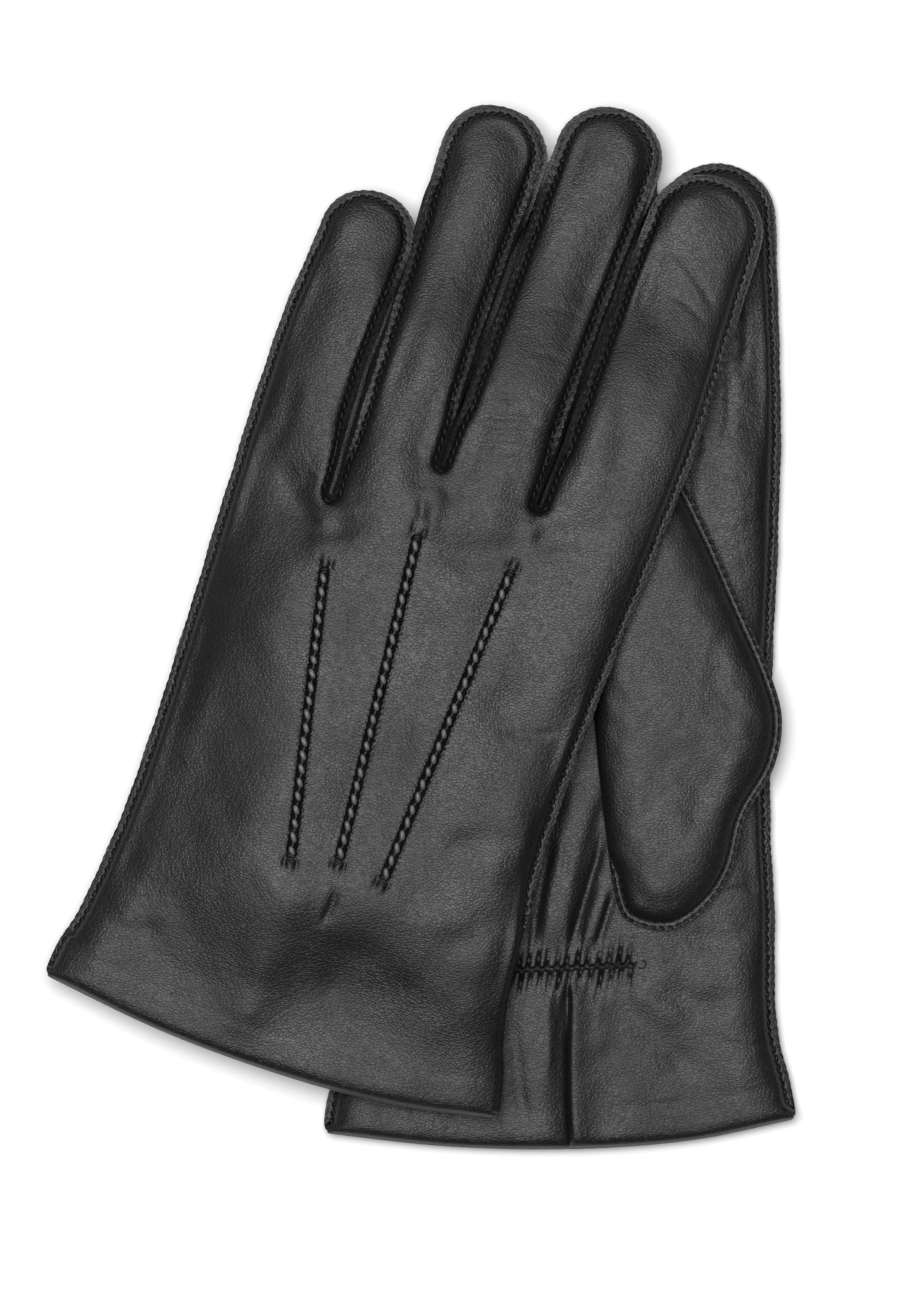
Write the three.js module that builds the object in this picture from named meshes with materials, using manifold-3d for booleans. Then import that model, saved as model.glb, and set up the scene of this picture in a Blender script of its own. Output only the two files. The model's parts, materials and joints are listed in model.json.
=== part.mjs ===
// A pair of men's lined leather dress gloves, lying flat on a table as they are put away in a drawer.
// The right glove lies underneath with its palm up. The left glove lies across it with its back up.
// Both thumbs are folded across their palms, between the two gloves. Millimetres, +Z up.
//
// Each glove is drawn in its own frame: u runs across the hand towards the thumb, v runs from the hem
// to the fingertips, and w runs from the outer face of the back (0) to the outer face of the palm.
// The left glove is the right glove mirrored through the plane of its palm.

import * as THREE from "three";
import { mergeVertices } from "three/addons/utils/BufferGeometryUtils.js";
import Module from "manifold-3d";

const wasm = await Module();
wasm.setup();

// ---------------------------------------------------------------- driving dimensions

const gloveWidth = 114; // across the hem, lying flat
const gloveLength = 249.3; // hem line to the tip of the middle finger
const gloveThickness = 10; // back to palm, with the lining in and no hand
const thumbThickness = 8; // of the flattened thumb
const leather = 0.8; // hairsheep nappa
const lining = 0.6; // knitted liner
const liningGap = 1.1; // room between leather and liner, which holds the wrist elastic
const seamAllowance = 2; // leather standing outside the stitch line of an outseam
const edgeRound = 3; // how far in from the seam the leather takes to level out
const thumbRound = 2.5; // the same on the thumb
const linerRound = edgeRound - leather; // and on the liner, which lies inside both
const hemTurn = 9; // leather turned in at the hem, which the liner starts from
const gussetHeight = 4.4; // the finger side wall that each fourchette makes
const gussetDepth = 2.2; // how far it reaches past the wall, so that it takes in the wall's whole curve
const pointWidth = 1.6; // ridge of each of the three points on the back
const elasticWidth = 5;
const elasticLength = 58;
const elasticThickness = 0.5;
const thread = 0.5; // diameter of the seam thread
const gap = 0.3; // clearance between pieces that touch

// Places of the details, in the pattern's own millimetres. Each finger has the middle and half sizes of its
// rounded tip, and its roots in the slits on its left and right.
const patternWidth = 114;
const patternLength = 249.3;
const thumbPivot = [26.5, 71.5]; // middle of the thumb hole, which the folded thumb swings about
const thumbHole = 11; // its radius
const elasticEnd = [17, 40]; // thumb-side end of the wrist gathers
const seamFromHem = 13; // the side seams end in a tack this far up from the hem

const fingers = [
  { name: "little", tip: [-36.2, 200.5], round: [11.7, 11.7], left: null, right: [-26.7, 135.4] },
  { name: "ring", tip: [-11.9, 229.4], round: [12.1, 12.1], left: [-24.6, 135.4], right: [-2.5, 150.4] },
  { name: "middle", tip: [16.1, 236.8], round: [12.4, 12.5], left: [-0.7, 150.4], right: [23.5, 147.6] },
  { name: "index", tip: [44.2, 226.2], round: [14.2, 14], left: [25.5, 147.6], right: null },
];
const littleSide = [[-60, 0], [-59, 9], [-55.4, 24], [-52.4, 52], [-51.5, 90], [-51, 165]];
const indexSide = [[58.2, 180], [56, 145], [52.6, 105], [51, 68], [52.8, 28], [57.4, 9], [59, 0]];
const hemLine = [[-60, 1.5], [-28, -3.3], [3, -5.2], [32, -4.3], [59, 0]];
const points = [
  { name: "ring", top: [-21.9, 118.2], foot: [-9.1, 47.4] },
  { name: "middle", top: [-2.1, 132.5], foot: [2.5, 50.4] },
  { name: "index", top: [22.6, 130.9], foot: [14.5, 48.8] },
];
const thumbEdge = [
  [15.5, 50.5], [25, 48.8], [34, 54], [40.5, 63], [44.5, 76], [52, 88], [54.6, 100], [52, 112], [45.5, 129],
  [38.5, 147], [31, 162], [20.5, 167.5], [11, 160.5], [8, 143], [7.6, 120], [8, 97], [9.5, 73], [11.5, 56],
];

// How each glove lies on the table: where its hem's middle is, its turn from straight up the table,
// how far the hand leans over the cuff, and how much further its thumb is folded across the palm.
// The hems lie further apart on larger gloves, so that the two thumbs still lie side by side.
const rightHem = [34.4, -126.2];
const hemsApart = [-72.5, 20.5];
const leftHem = [
  rightHem[0] + (hemsApart[0] * gloveWidth) / patternWidth,
  rightHem[1] + (hemsApart[1] * gloveLength) / patternLength,
];
const rightLie = { hem: rightHem, turn: THREE.MathUtils.degToRad(2.46), lean: 4.5, thumbTurn: 0 };
const leftLie = { hem: leftHem, turn: THREE.MathUtils.degToRad(-16.8), lean: 0, thumbTurn: 0.3 };

// ---------------------------------------------------------------- materials

const leatherFinish = new THREE.MeshStandardMaterial({ color: 0x1b1b1c, roughness: 0.42, metalness: 0 });
const threadFinish = new THREE.MeshStandardMaterial({ color: 0x0d0d0e, roughness: 0.6, metalness: 0 });
const knitFinish = new THREE.MeshStandardMaterial({ color: 0x232326, roughness: 0.95, metalness: 0 });
const elasticFinish = new THREE.MeshStandardMaterial({ color: 0x161617, roughness: 0.8, metalness: 0 });

// ---------------------------------------------------------------- solids

const MERGE = 1e-4;
const FAR = 400; // longer than the object, for cutters

function solidOf(geometry) {
  const bare = geometry.clone();
  bare.deleteAttribute("normal");
  bare.deleteAttribute("uv");
  const merged = mergeVertices(bare, MERGE);
  const vertProperties = merged.attributes.position.array;
  const triVerts = new Uint32Array(merged.index.array);
  return new wasm.Manifold(new wasm.Mesh({ numProp: 3, vertProperties, triVerts }));
}

function geometryOf(solid) {
  const mesh = solid.getMesh();
  const geometry = new THREE.BufferGeometry();
  geometry.setAttribute("position", new THREE.BufferAttribute(mesh.vertProperties, 3));
  geometry.setIndex(new THREE.BufferAttribute(mesh.triVerts, 1));
  geometry.computeVertexNormals();
  return geometry;
}

// A plate with upright sides, between two heights.
function plate(outline, low, high) {
  const options = { depth: high - low, bevelEnabled: false };
  const geometry = new THREE.ExtrudeGeometry(new THREE.Shape(outline), options);
  return solidOf(geometry.translate(0, 0, low));
}

// A plate whose outline is drawn in by the same distance all round.
function insetPlate(outline, low, high, inset) {
  const level = { bevelThickness: 0, bevelSize: 0, bevelSegments: 1 };
  const options = { depth: high - low, bevelOffset: -inset, ...level };
  const geometry = new THREE.ExtrudeGeometry(new THREE.Shape(outline), options);
  return solidOf(geometry.translate(0, 0, low));
}

// A cushion: flat top and bottom, rounded all round, standing in from the outline by inset.
function cushion(outline, low, high, inset, round, steps) {
  const side = 0.6; // upright part of the rounded edge
  const rise = (high - low - side) / 2;
  const options = {
    depth: side,
    bevelThickness: rise,
    bevelSize: round,
    bevelOffset: -round - inset,
    bevelSegments: steps,
  };
  const geometry = new THREE.ExtrudeGeometry(new THREE.Shape(outline), options);
  return solidOf(geometry.translate(0, 0, low + rise));
}

// The skin of a cushion: what is left between it and a smaller one inside it.
function skin(outline, low, high, inset, wall, round, steps) {
  const outside = cushion(outline, low, high, inset, round, steps);
  return outside.subtract(cushion(outline, low + wall, high - wall, inset + wall, round, 1));
}

// ---------------------------------------------------------------- the pattern

// The glove's pattern, graded to its size and laid with the hand leaning over the cuff.
function patternOf(lean) {
  const leanLength = 60; // the lean comes in over the cuff, and the hand above it keeps its shape
  return (u, v) => {
    const share = THREE.MathUtils.smoothstep(v, 0, leanLength);
    const across = (u * gloveWidth) / patternWidth;
    return new THREE.Vector2(across + lean * share, (v * gloveLength) / patternLength);
  };
}

function curveThrough(at, list, steps) {
  return new THREE.SplineCurve(list.map(([u, v]) => at(u, v))).getPoints(steps);
}

// A closed smooth outline through the points, evenly spaced.
function ringThrough(at, list, steps) {
  const knots = list.map(([u, v]) => at(u, v)).map((p) => new THREE.Vector3(p.x, p.y, 0));
  const ring = new THREE.CatmullRomCurve3(knots, true).getSpacedPoints(steps);
  return ring.slice(0, -1).map((p) => new THREE.Vector2(p.x, p.y));
}

// The half circle over a fingertip, from the little-finger side to the thumb side.
function tipArc(at, finger) {
  const steps = 6;
  const [u, v] = finger.tip;
  const [wide, long] = finger.round;
  return Array.from({ length: steps + 1 }, (_, i) => {
    const angle = Math.PI * (1 - i / steps);
    return at(u + wide * Math.cos(angle), v + long * Math.sin(angle));
  });
}

// The bottom of the slit between two fingers, as a half circle.
function crotchArc(at, left, right) {
  const steps = 2;
  const middle = [(left[0] + right[0]) / 2, left[1]];
  const round = (right[0] - left[0]) / 2;
  return Array.from({ length: steps + 1 }, (_, i) => {
    const angle = Math.PI * (1 + i / steps);
    return at(middle[0] + round * Math.cos(angle), middle[1] + round * Math.sin(angle));
  });
}

// The glove's whole outline, clockwise from the hem's little-finger corner. It runs on below the hem,
// where the hem cutter takes it off.
function handOutline(at) {
  const runOn = 14;
  const sideSteps = 7;
  const outline = [at(littleSide[0][0], -runOn), ...curveThrough(at, littleSide, sideSteps)];
  fingers.forEach((finger, i) => {
    outline.push(...tipArc(at, finger));
    if (i < fingers.length - 1) outline.push(...crotchArc(at, finger.right, fingers[i + 1].left));
  });
  outline.push(...curveThrough(at, indexSide, sideSteps), at(indexSide.at(-1)[0], -runOn));
  return outline;
}

// Everything below the hem line, raised by lift.
function hemCutter(at, lift) {
  const steps = 8;
  const hem = curveThrough(at, hemLine, steps);
  const ends = [hem[0].clone().setX(-FAR), ...hem, hem.at(-1).clone().setX(FAR)];
  ends.forEach((p) => (p.y += lift));
  const under = [new THREE.Vector2(FAR, -FAR), new THREE.Vector2(-FAR, -FAR)];
  return plate([...ends, ...under], -FAR, FAR);
}

// Everything below a level line across the pattern.
function below(at, v) {
  return plate([at(-FAR, -FAR), at(FAR, -FAR), at(FAR, v), at(-FAR, v)], -FAR, FAR);
}

// The stretch of wall that one fourchette makes, as a plan outline: from the bottom of the slit to the
// fingertip, and from the middle of the slit into the finger. toward is 1 on a finger's thumb side.
function gussetPlan(at, finger, toward, grow) {
  const left = toward > 0 ? finger.right : fingers[fingers.indexOf(finger) - 1].right;
  const right = toward > 0 ? fingers[fingers.indexOf(finger) + 1].left : finger.left;
  const middle = (left[0] + right[0]) / 2;
  const into = seamAllowance + leather + gussetDepth;
  const root = toward > 0 ? left : right;
  const side = finger.tip[0] + toward * finger.round[0];
  const beyond = seamAllowance / 2;
  const plan = [
    [middle - toward * (gap / 2 - grow), root[1] - into - grow],
    [root[0] - toward * (into + grow), root[1] - into - grow],
    [side - toward * (into + grow), finger.tip[1]],
    [side + toward * beyond, finger.tip[1]],
    [middle + toward * grow - (toward * gap) / 2, root[1] + seamAllowance],
  ];
  return plan.map(([u, v]) => at(u, v));
}

// ---------------------------------------------------------------- one glove

function meshOf(name, solid, finish) {
  const mesh = new THREE.Mesh(geometryOf(solid), finish);
  mesh.name = name;
  return mesh;
}

// The part of a solid between two heights.
function between(solid, low, high) {
  const size = FAR * 2;
  const box = new THREE.BoxGeometry(size, size, high - low).translate(0, 0, (low + high) / 2);
  return solid.intersect(solidOf(box));
}

// The thumb hole, or a smaller one inside it.
function holePlan(centre, inset) {
  const steps = 16;
  const circle = new THREE.EllipseCurve(centre.x, centre.y, thumbHole - inset, thumbHole - inset);
  return circle.getPoints(steps).slice(0, -1);
}

// The back and palm panels: the two halves of the outer skin, each with the seam allowance that stands
// out at the outseam, less the walls that the fourchettes make.
function panels(at, outline, hem, gussetCuts) {
  const steps = 2;
  const middle = gloveThickness / 2;
  const shell = skin(outline, 0, gloveThickness, seamAllowance, leather, edgeRound, steps);
  const inside = insetPlate(outline, -FAR, FAR, seamAllowance + leather / 2);
  const rims = plate(outline, middle - gap / 2 - leather, middle + gap / 2 + leather).subtract(inside);
  let body = shell.add(rims.subtract(below(at, seamFromHem - gap))).subtract(hem);
  gussetCuts.forEach((cut) => (body = body.subtract(cut)));
  const back = between(body, -FAR, middle - gap / 2);
  const palm = between(body, middle + gap / 2, FAR);
  return { shell, back, palm };
}

function pointBar(at, point, grow) {
  const top = at(...point.top);
  const foot = at(...point.foot);
  const along = top.clone().sub(foot).normalize();
  const across = new THREE.Vector2(-along.y, along.x).multiplyScalar(pointWidth / 2 + grow);
  const ends = along.multiplyScalar(grow);
  const high = top.add(ends);
  const low = foot.sub(ends);
  const topEdge = [high.clone().add(across), high.clone().sub(across)];
  const footEdge = [low.clone().sub(across), low.clone().add(across)];
  const clear = 1; // the cutter starts outside the leather
  return plate([...topEdge, ...footEdge], grow > 0 ? -clear : 0, leather + grow);
}

// The outseam's threads, one for each finger, in the order of the fingers. Each lies on the back of the
// seam allowance and stops where the fourchettes begin.
function seamThreads(at, outline, gussetCuts) {
  const high = gloveThickness / 2 - gap / 2 - leather - gap;
  const line = insetPlate(outline, high - thread, high, seamAllowance / 2 - thread / 2);
  let ring = line.subtract(insetPlate(outline, -FAR, FAR, seamAllowance / 2 + thread / 2));
  ring = ring.subtract(below(at, seamFromHem));
  gussetCuts.forEach((cut) => (ring = ring.subtract(cut)));
  const across = (solid) => solid.boundingBox().min[0];
  return ring.decompose().sort((one, other) => across(one) - across(other));
}

// Zigzag stitching that holds the wrist elastic to the palm, on the outer face of the leather.
function wristZigzag(at) {
  const stitches = 11;
  const swing = 0.3 * elasticWidth; // each way, so that the thread stays on the band
  const end = at(...elasticEnd);
  const row = (side) =>
    Array.from({ length: stitches + 1 }, (_, i) => {
      const u = end.x - (elasticLength * i) / stitches;
      return new THREE.Vector2(u, end.y + (i % 2 ? -swing : swing) + (side * thread) / 2);
    });
  return plate([...row(1), ...row(-1).reverse()], gloveThickness + gap, gloveThickness + gap + thread);
}

function elasticBand(at) {
  const end = at(...elasticEnd);
  const half = elasticWidth / 2;
  const low = gloveThickness - leather - gap - elasticThickness;
  const corners = [
    [end.x, end.y - half],
    [end.x, end.y + half],
    [end.x - elasticLength, end.y + half],
    [end.x - elasticLength, end.y - half],
  ];
  return plate(corners.map(([x, y]) => new THREE.Vector2(x, y)), low, low + elasticThickness);
}

// The thumb, in a frame whose origin is the middle of the thumb hole.
function thumbPieces(side, at, pivot) {
  const steps = 2;
  const low = gloveThickness + gap;
  const high = low + thumbThickness;
  const edgeSteps = 28;
  const outline = ringThrough(at, thumbEdge, edgeSteps).map((p) => p.sub(pivot));
  const centre = new THREE.Vector2(0, 0);
  const outside = seamAllowance / 2;
  const shell = skin(outline, low, high, outside, leather, thumbRound, steps);
  const mouth = plate(holePlan(centre, 0), low - gap, (low + high) / 2);
  const linerLow = low + leather + gap;
  const linerHigh = high - leather - gap;
  const liner = skin(outline, linerLow, linerHigh, outside + leather + gap, lining, linerRound, 1);
  const middle = (low + high) / 2;
  const seamLine = insetPlate(outline, middle - thread / 2, middle + thread / 2, 0);
  const seamHole = insetPlate(outline, -FAR, FAR, outside - gap);
  const seamFrom = -8; // the seam runs up the side right of this line, and the other side is a fold
  const foldEdge = [[-FAR, -FAR], [seamFrom, -FAR], [seamFrom, FAR], [-FAR, FAR]];
  const foldSide = plate(foldEdge.map((p) => new THREE.Vector2(...p)), -FAR, FAR);
  const linerMouth = plate(holePlan(centre, lining), low - gap, middle);
  return [
    meshOf(`${side}_thumb`, shell.subtract(mouth), leatherFinish),
    meshOf(`${side}_thumb_lining`, liner.subtract(linerMouth), knitFinish),
    meshOf(`${side}_thumb_seam_thread`, seamLine.subtract(seamHole).subtract(foldSide), threadFinish),
  ];
}

function glove(side, lie) {
  const at = patternOf(lie.lean);
  const outline = handOutline(at);
  const hem = hemCutter(at, 0);
  const middle = gloveThickness / 2;
  const group = new THREE.Group();
  const pivot = at(...thumbPivot);

  const [little, ring, long, index] = fingers;
  const facing = [[little, 1], [ring, -1], [ring, 1], [long, -1], [long, 1], [index, -1]];
  const half = gussetHeight / 2;
  const gussetCut = ([finger, toward]) =>
    plate(gussetPlan(at, finger, toward, gap / 2), middle - half - gap / 2, middle + half + gap / 2);
  const cuts = facing.map(gussetCut);
  const { shell, back, palm } = panels(at, outline, hem, cuts);

  let backPanel = back;
  points.forEach((point) => {
    backPanel = backPanel.subtract(pointBar(at, point, gap));
    group.add(meshOf(`${side}_point_stitching_${point.name}`, pointBar(at, point, 0), threadFinish));
  });
  const hole = plate(holePlan(pivot, 0), middle, gloveThickness + 1);
  group.add(meshOf(`${side}_back_panel`, backPanel, leatherFinish));
  group.add(meshOf(`${side}_palm_panel`, palm.subtract(hole), leatherFinish));

  facing.forEach(([finger, toward]) => {
    const plan = gussetPlan(at, finger, toward, -gap / 2);
    const strip = shell.intersect(plate(plan, middle - half + gap / 2, middle + half - gap / 2));
    const face = toward > 0 ? "thumb_side" : "outer_side";
    group.add(meshOf(`${side}_fourchette_${finger.name}_${face}`, strip, leatherFinish));
  });

  const linerIn = leather + liningGap;
  const linerSide = seamAllowance + leather + gap;
  const bag = skin(outline, linerIn, gloveThickness - linerIn, linerSide, lining, linerRound, 1);
  const linerHole = plate(holePlan(pivot, lining), middle, gloveThickness);
  const liner = bag.subtract(hemCutter(at, hemTurn)).subtract(linerHole);
  group.add(meshOf(`${side}_lining`, liner, knitFinish));

  seamThreads(at, outline, cuts).forEach((line, i) => {
    group.add(meshOf(`${side}_seam_thread_${fingers[i].name}`, line, threadFinish));
  });
  group.add(meshOf(`${side}_wrist_elastic`, elasticBand(at), elasticFinish));
  group.add(meshOf(`${side}_wrist_stitching`, wristZigzag(at), threadFinish));

  const thumb = new THREE.Group();
  thumb.position.set(pivot.x, pivot.y, 0);
  thumb.rotation.z = lie.thumbTurn;
  thumb.add(...thumbPieces(side, at, pivot));
  group.add(thumb);

  group.position.set(lie.hem[0], lie.hem[1], 0);
  group.rotation.z = lie.turn;
  return group;
}

// ---------------------------------------------------------------- the pair

const pair = new THREE.Group();
const right = glove("right", rightLie);
const left = glove("left", leftLie);
left.scale.z = -1;
left.position.z = gloveThickness + gap + thumbThickness + gap + gloveThickness;
pair.add(right, left);

// The origin is the middle of the pair's footprint, on the table.
const bounds = new THREE.Box3().setFromObject(pair, true);
const foot = bounds.getCenter(new THREE.Vector3()).setZ(bounds.min.z);
pair.children.forEach((one) => one.position.sub(foot));

export default pair;
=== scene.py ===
"""A pair of men's black nappa dress gloves, lined, lying flat: the right one palm up, the left across it.

Each glove is modelled in its own pattern, in millimetres: u runs across the hand towards the thumb, v runs
from the hem to the fingertips, and a height is measured outwards from the middle of the glove. A panel is
then laid on the table in the place that the CAD frame gives it, in metres.
"""

import json
import math

import bpy
import numpy as np
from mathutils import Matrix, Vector
from mathutils.geometry import delaunay_2d_cdt
from mathutils.kdtree import KDTree


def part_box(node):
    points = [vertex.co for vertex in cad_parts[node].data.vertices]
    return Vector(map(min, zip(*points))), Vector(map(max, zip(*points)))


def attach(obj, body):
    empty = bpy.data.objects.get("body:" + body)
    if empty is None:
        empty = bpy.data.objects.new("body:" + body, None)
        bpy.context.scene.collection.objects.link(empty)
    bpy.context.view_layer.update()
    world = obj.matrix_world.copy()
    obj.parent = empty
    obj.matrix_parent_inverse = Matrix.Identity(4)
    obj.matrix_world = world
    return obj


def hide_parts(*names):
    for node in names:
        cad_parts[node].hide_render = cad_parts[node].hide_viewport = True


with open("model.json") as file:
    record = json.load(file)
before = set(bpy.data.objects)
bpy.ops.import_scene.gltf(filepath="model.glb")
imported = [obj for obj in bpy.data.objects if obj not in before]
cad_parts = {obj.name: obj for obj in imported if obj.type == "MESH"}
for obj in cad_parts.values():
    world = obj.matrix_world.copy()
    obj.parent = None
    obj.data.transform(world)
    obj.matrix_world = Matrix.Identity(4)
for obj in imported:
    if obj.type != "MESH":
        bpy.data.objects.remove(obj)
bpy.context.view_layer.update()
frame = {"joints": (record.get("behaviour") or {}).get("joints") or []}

MM = 0.001

# ---------------------------------------------------------------- sizes, in millimetres

LEATHER = 0.8  # hairsheep nappa
ALLOWANCE = 2.0  # leather standing outside the stitch line of an outseam
STITCH = 2.3  # from one stitch of the outseam to the next
BEAD = 3.4  # from one stitch of a point to the next
EDGE_RISE = 0.9  # face of the seam allowance above the middle, where back and palm meet
SLIT_RISE = 2.4  # the same between two fingers, where a fourchette stands between them
FULL = 4.95  # face of the panel above the middle, where the glove is fullest
HEM_TURN = 9.0  # leather turned in at the hem
BACK_DEPTH = 0.6  # how much of their full depth the back's folds have kept
TACK = 13.0  # the little finger's side seam is tacked this far up from the hem
HEM_CORNER = 2.6  # cut back at each corner of the hem
LEAN_LENGTH = 60.0  # the hand leans over the cuff within this length

# From the little finger on: the middle of each round tip with its half width and half length, the foot of the
# slit on either side, and how far the finger's right side bows in.
FINGERS = [
    {
        "name": "little",
        "tip": (-36.2, 200.5), "round": (11.7, 11.7),
        "left": None, "right": (-26.7, 137.2), "bow": 1.3,
    },
    {
        "name": "ring",
        "tip": (-11.9, 229.4), "round": (12.1, 12.1),
        "left": (-24.6, 137.2), "right": (-2.3, 151.8), "bow": 0.5,
    },
    {
        "name": "middle",
        "tip": (16.1, 236.8), "round": (12.4, 12.5),
        "left": (-0.9, 151.8), "right": (23.6, 149.2), "bow": 0.3,
    },
    {
        "name": "index",
        "tip": (44.2, 226.2), "round": (14.2, 14.0),
        "left": (25.4, 149.2), "right": None,
    },
]
LITTLE_SIDE = [(-60, 1.5), (-59, 9), (-55.4, 24), (-52.4, 52), (-51.5, 90), (-51, 165)]
INDEX_SIDE = [(58.2, 180), (56, 145), (52.6, 105), (51, 68), (52.8, 28), (57.4, 9), (59, 0)]
HEM = [(-60, 1.5), (-28, -3.3), (3, -5.2), (32, -4.3), (59, 0)]
POINTS = {
    "ring": ((-21.9, 118.2), (-9.1, 47.4)),
    "middle": ((-2.1, 132.5), (2.5, 50.4)),
    "index": ((22.6, 130.9), (14.5, 48.8)),
}
THUMB_PIVOT = (26.5, 71.5)
THUMB_HOLE = 11.0
THUMB_EDGE = [
    (15.5, 50.5), (25, 48.8), (34, 54), (40.5, 63), (44.5, 76), (52, 88), (54.6, 100), (52, 112),
    (45.5, 129), (38.5, 147), (31, 162), (20.5, 167.5), (11, 160.5), (8, 143), (7.6, 120), (8, 97),
    (9.5, 73), (11.5, 56),
]
THUMB_THICK = 7.9  # face of the folded thumb above the palm it lies on
THUMB_SEAM = 3.3  # its seam above the same palm
THUMB_ALLOWANCE = 1.7  # leather standing outside its seam
LOWER_SKIN_TOP = 3.25  # the inside of its lower skin stops just short of the upper skin's
PAST_TIPS = ((0.1, 1.1), (0.9, 1.7), (1.2, 1.1), (0.5, 0.5))  # the lower panel past each tip, left and right
SLIT_OPENS = (1.15, 0.75, 0.75)  # how far the walls fold out into each slit
ELASTIC_END = (17.0, 40.0)
ELASTIC = (58.0, 5.0, 0.5)  # length, width and thickness of the wrist elastic
PLEAT = 2.5  # from one pleat of the gathers to the next

DROOP = 6.3  # how far the upper glove sinks where the thumbs don't hold it up
OVERHANG = 2.6  # how much further its outer side hangs at the cuff
LINING_FULL = 1.25  # the lining above the glove's middle, in the hand
LINING_CUFF = 1.2  # how much fuller it is in the cuff
LEATHER_NOSE = 0.06  # how far a cut edge is rounded out
FOLD_NOSE = 0.45  # how far the hem's fold is

# length, width and thickness of one stitch
OUTSEAM_STITCH = (1.7, 0.42, 0.4)
BAR_STITCH = (2.9, 0.6, 0.6)
POINT_STITCH = (2.7, 1.35, 0.8)
THUMB_STITCH = (1.9, 0.6, 0.5)

EDGE_STEP = 0.15  # between the points of an outline
FINE, COARSE = 0.5, 0.9  # between the points of a panel that faces up, and of one that faces down
FINE_ROWS = (0.4, 0.7, 1.0, 1.4, 1.7, 1.95, 2.2, 2.5, 2.85, 3.25, 3.7, 4.2, 4.8, 5.4, 6.1)
COARSE_ROWS = (0.5, 1.2, 1.7, 2.1, 2.6, 3.3, 4.2, 5.4)
POINT_OFFSETS = (0, 0.25, 0.5, 0.7, 0.9, 1.1, 1.35, 1.65, 2.1, 2.7)
FOLD_OFFSETS = (0, 0.35, 0.7, 1.05, 1.4, 1.8, 2.3, 2.9)
GATHER_OFFSETS = (0, 0.3, 0.6, 0.9, 1.2, 1.55, 1.95, 2.4, 2.9, 3.5, 4.2, 5)

# ---------------------------------------------------------------- lines and swells


def smoothstep(x, low, high):
    t = np.clip((np.asarray(x, float) - low) / (high - low), 0, 1)
    return t * t * (3 - 2 * t)


def evenly(line, step):
    """The same line with its points evenly spaced."""
    run = np.concatenate([[0], np.cumsum(np.hypot(*np.diff(line, axis=0).T))])
    at = np.linspace(0, run[-1], max(2, int(round(run[-1] / step)) + 1))
    return np.column_stack([np.interp(at, run, line[:, i]) for i in (0, 1)])


def through(knots, step, closed=False):
    """A smooth line through the knots, evenly spaced."""
    k = np.array(knots, float)
    k = np.vstack([k[-1], k, k[:2]]) if closed else np.vstack([2 * k[0] - k[1], k, 2 * k[-1] - k[-2]])
    t = np.linspace(0, 1, 24, endpoint=False)[:, None]
    runs = [
        0.5 * (2 * b + (c - a) * t + (2 * a - 5 * b + 4 * c - d) * t**2 + (3 * b - a - 3 * c + d) * t**3)
        for a, b, c, d in zip(k, k[1:], k[2:], k[3:])
    ]
    return evenly(np.vstack(runs + [k[-2:-1]]), step)


def straight(top, foot):
    """A straight line up from its foot: both its ends, its length, its way and the way across it."""
    top, foot = np.array(top), np.array(foot)
    length = np.hypot(*(top - foot))
    way = (top - foot) / length
    return top, foot, length, way, np.array([-way[1], way[0]])


def stitch_beat(run, pitch, shift=0.0):
    """1 at each stitch along a seam, and 0 halfway between two of them."""
    return 0.5 + 0.5 * np.cos(math.tau * run / pitch + shift)


def swell(p, seed, pitch, stretch=1.0):
    """Soft random swells of about that pitch, between about -1 and 1, stretched along the hand."""
    rng = np.random.default_rng(seed)
    waves = 18
    total = np.zeros(len(p))
    for _ in range(waves):
        angle, phase, size = rng.uniform(0, math.tau), rng.uniform(0, math.tau), rng.uniform(0.7, 1.4)
        k = math.tau / (pitch * size)
        total += np.cos(k * (p[:, 0] * math.cos(angle) + p[:, 1] * math.sin(angle) / stretch) + phase)
    return total / math.sqrt(waves)


# ---------------------------------------------------------------- the edge of the hand


def half_round(centre, wide, long, start, end, step):
    a = np.linspace(start, end, max(6, int(abs(end - start) * (wide + long) / 2 / step)))
    return np.column_stack([centre[0] + wide * np.cos(a), centre[1] + long * np.sin(a)])


class Edge:
    """A closed outline walked clockwise, with what the seams need to know at each of its points."""

    def __init__(self, runs):
        line = np.vstack([points for points, *_ in runs])
        self.owner = np.concatenate([np.full(len(points), owner) for points, owner, _ in runs])
        self.slit = np.concatenate([slit for _, _, slit in runs])
        keep = np.hypot(*(line - np.roll(line, 1, axis=0)).T) > 1e-3
        self.line, self.owner, self.slit = line[keep], self.owner[keep], self.slit[keep]
        ahead = np.roll(self.line, -1, axis=0) - np.roll(self.line, 1, axis=0)
        self.along = ahead / np.hypot(*ahead.T)[:, None]
        self.out = np.column_stack([-self.along[:, 1], self.along[:, 0]])
        self.run = np.concatenate([[0], np.cumsum(np.hypot(*np.diff(self.line, axis=0).T))])
        self.border = self.line
        self.whole = tree_of(self.line)
        self.sewn = np.flatnonzero(self.owner >= 0)
        self.seam = tree_of(self.line[self.sewn])

    def seam_at(self, p):
        """For each point its distance to the sewn edge, and which point of the edge is nearest."""
        found = nearest(self.seam, p)
        return found[0], self.sewn[found[1]]


def tree_of(points):
    tree = KDTree(len(points))
    for i, (x, y) in enumerate(points):
        tree.insert((x, y, 0), i)
    tree.balance()
    return tree


def nearest(tree, p):
    found = [tree.find((x, y, 0)) for x, y in p]
    return np.array([f[2] for f in found]), np.array([f[1] for f in found])


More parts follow.
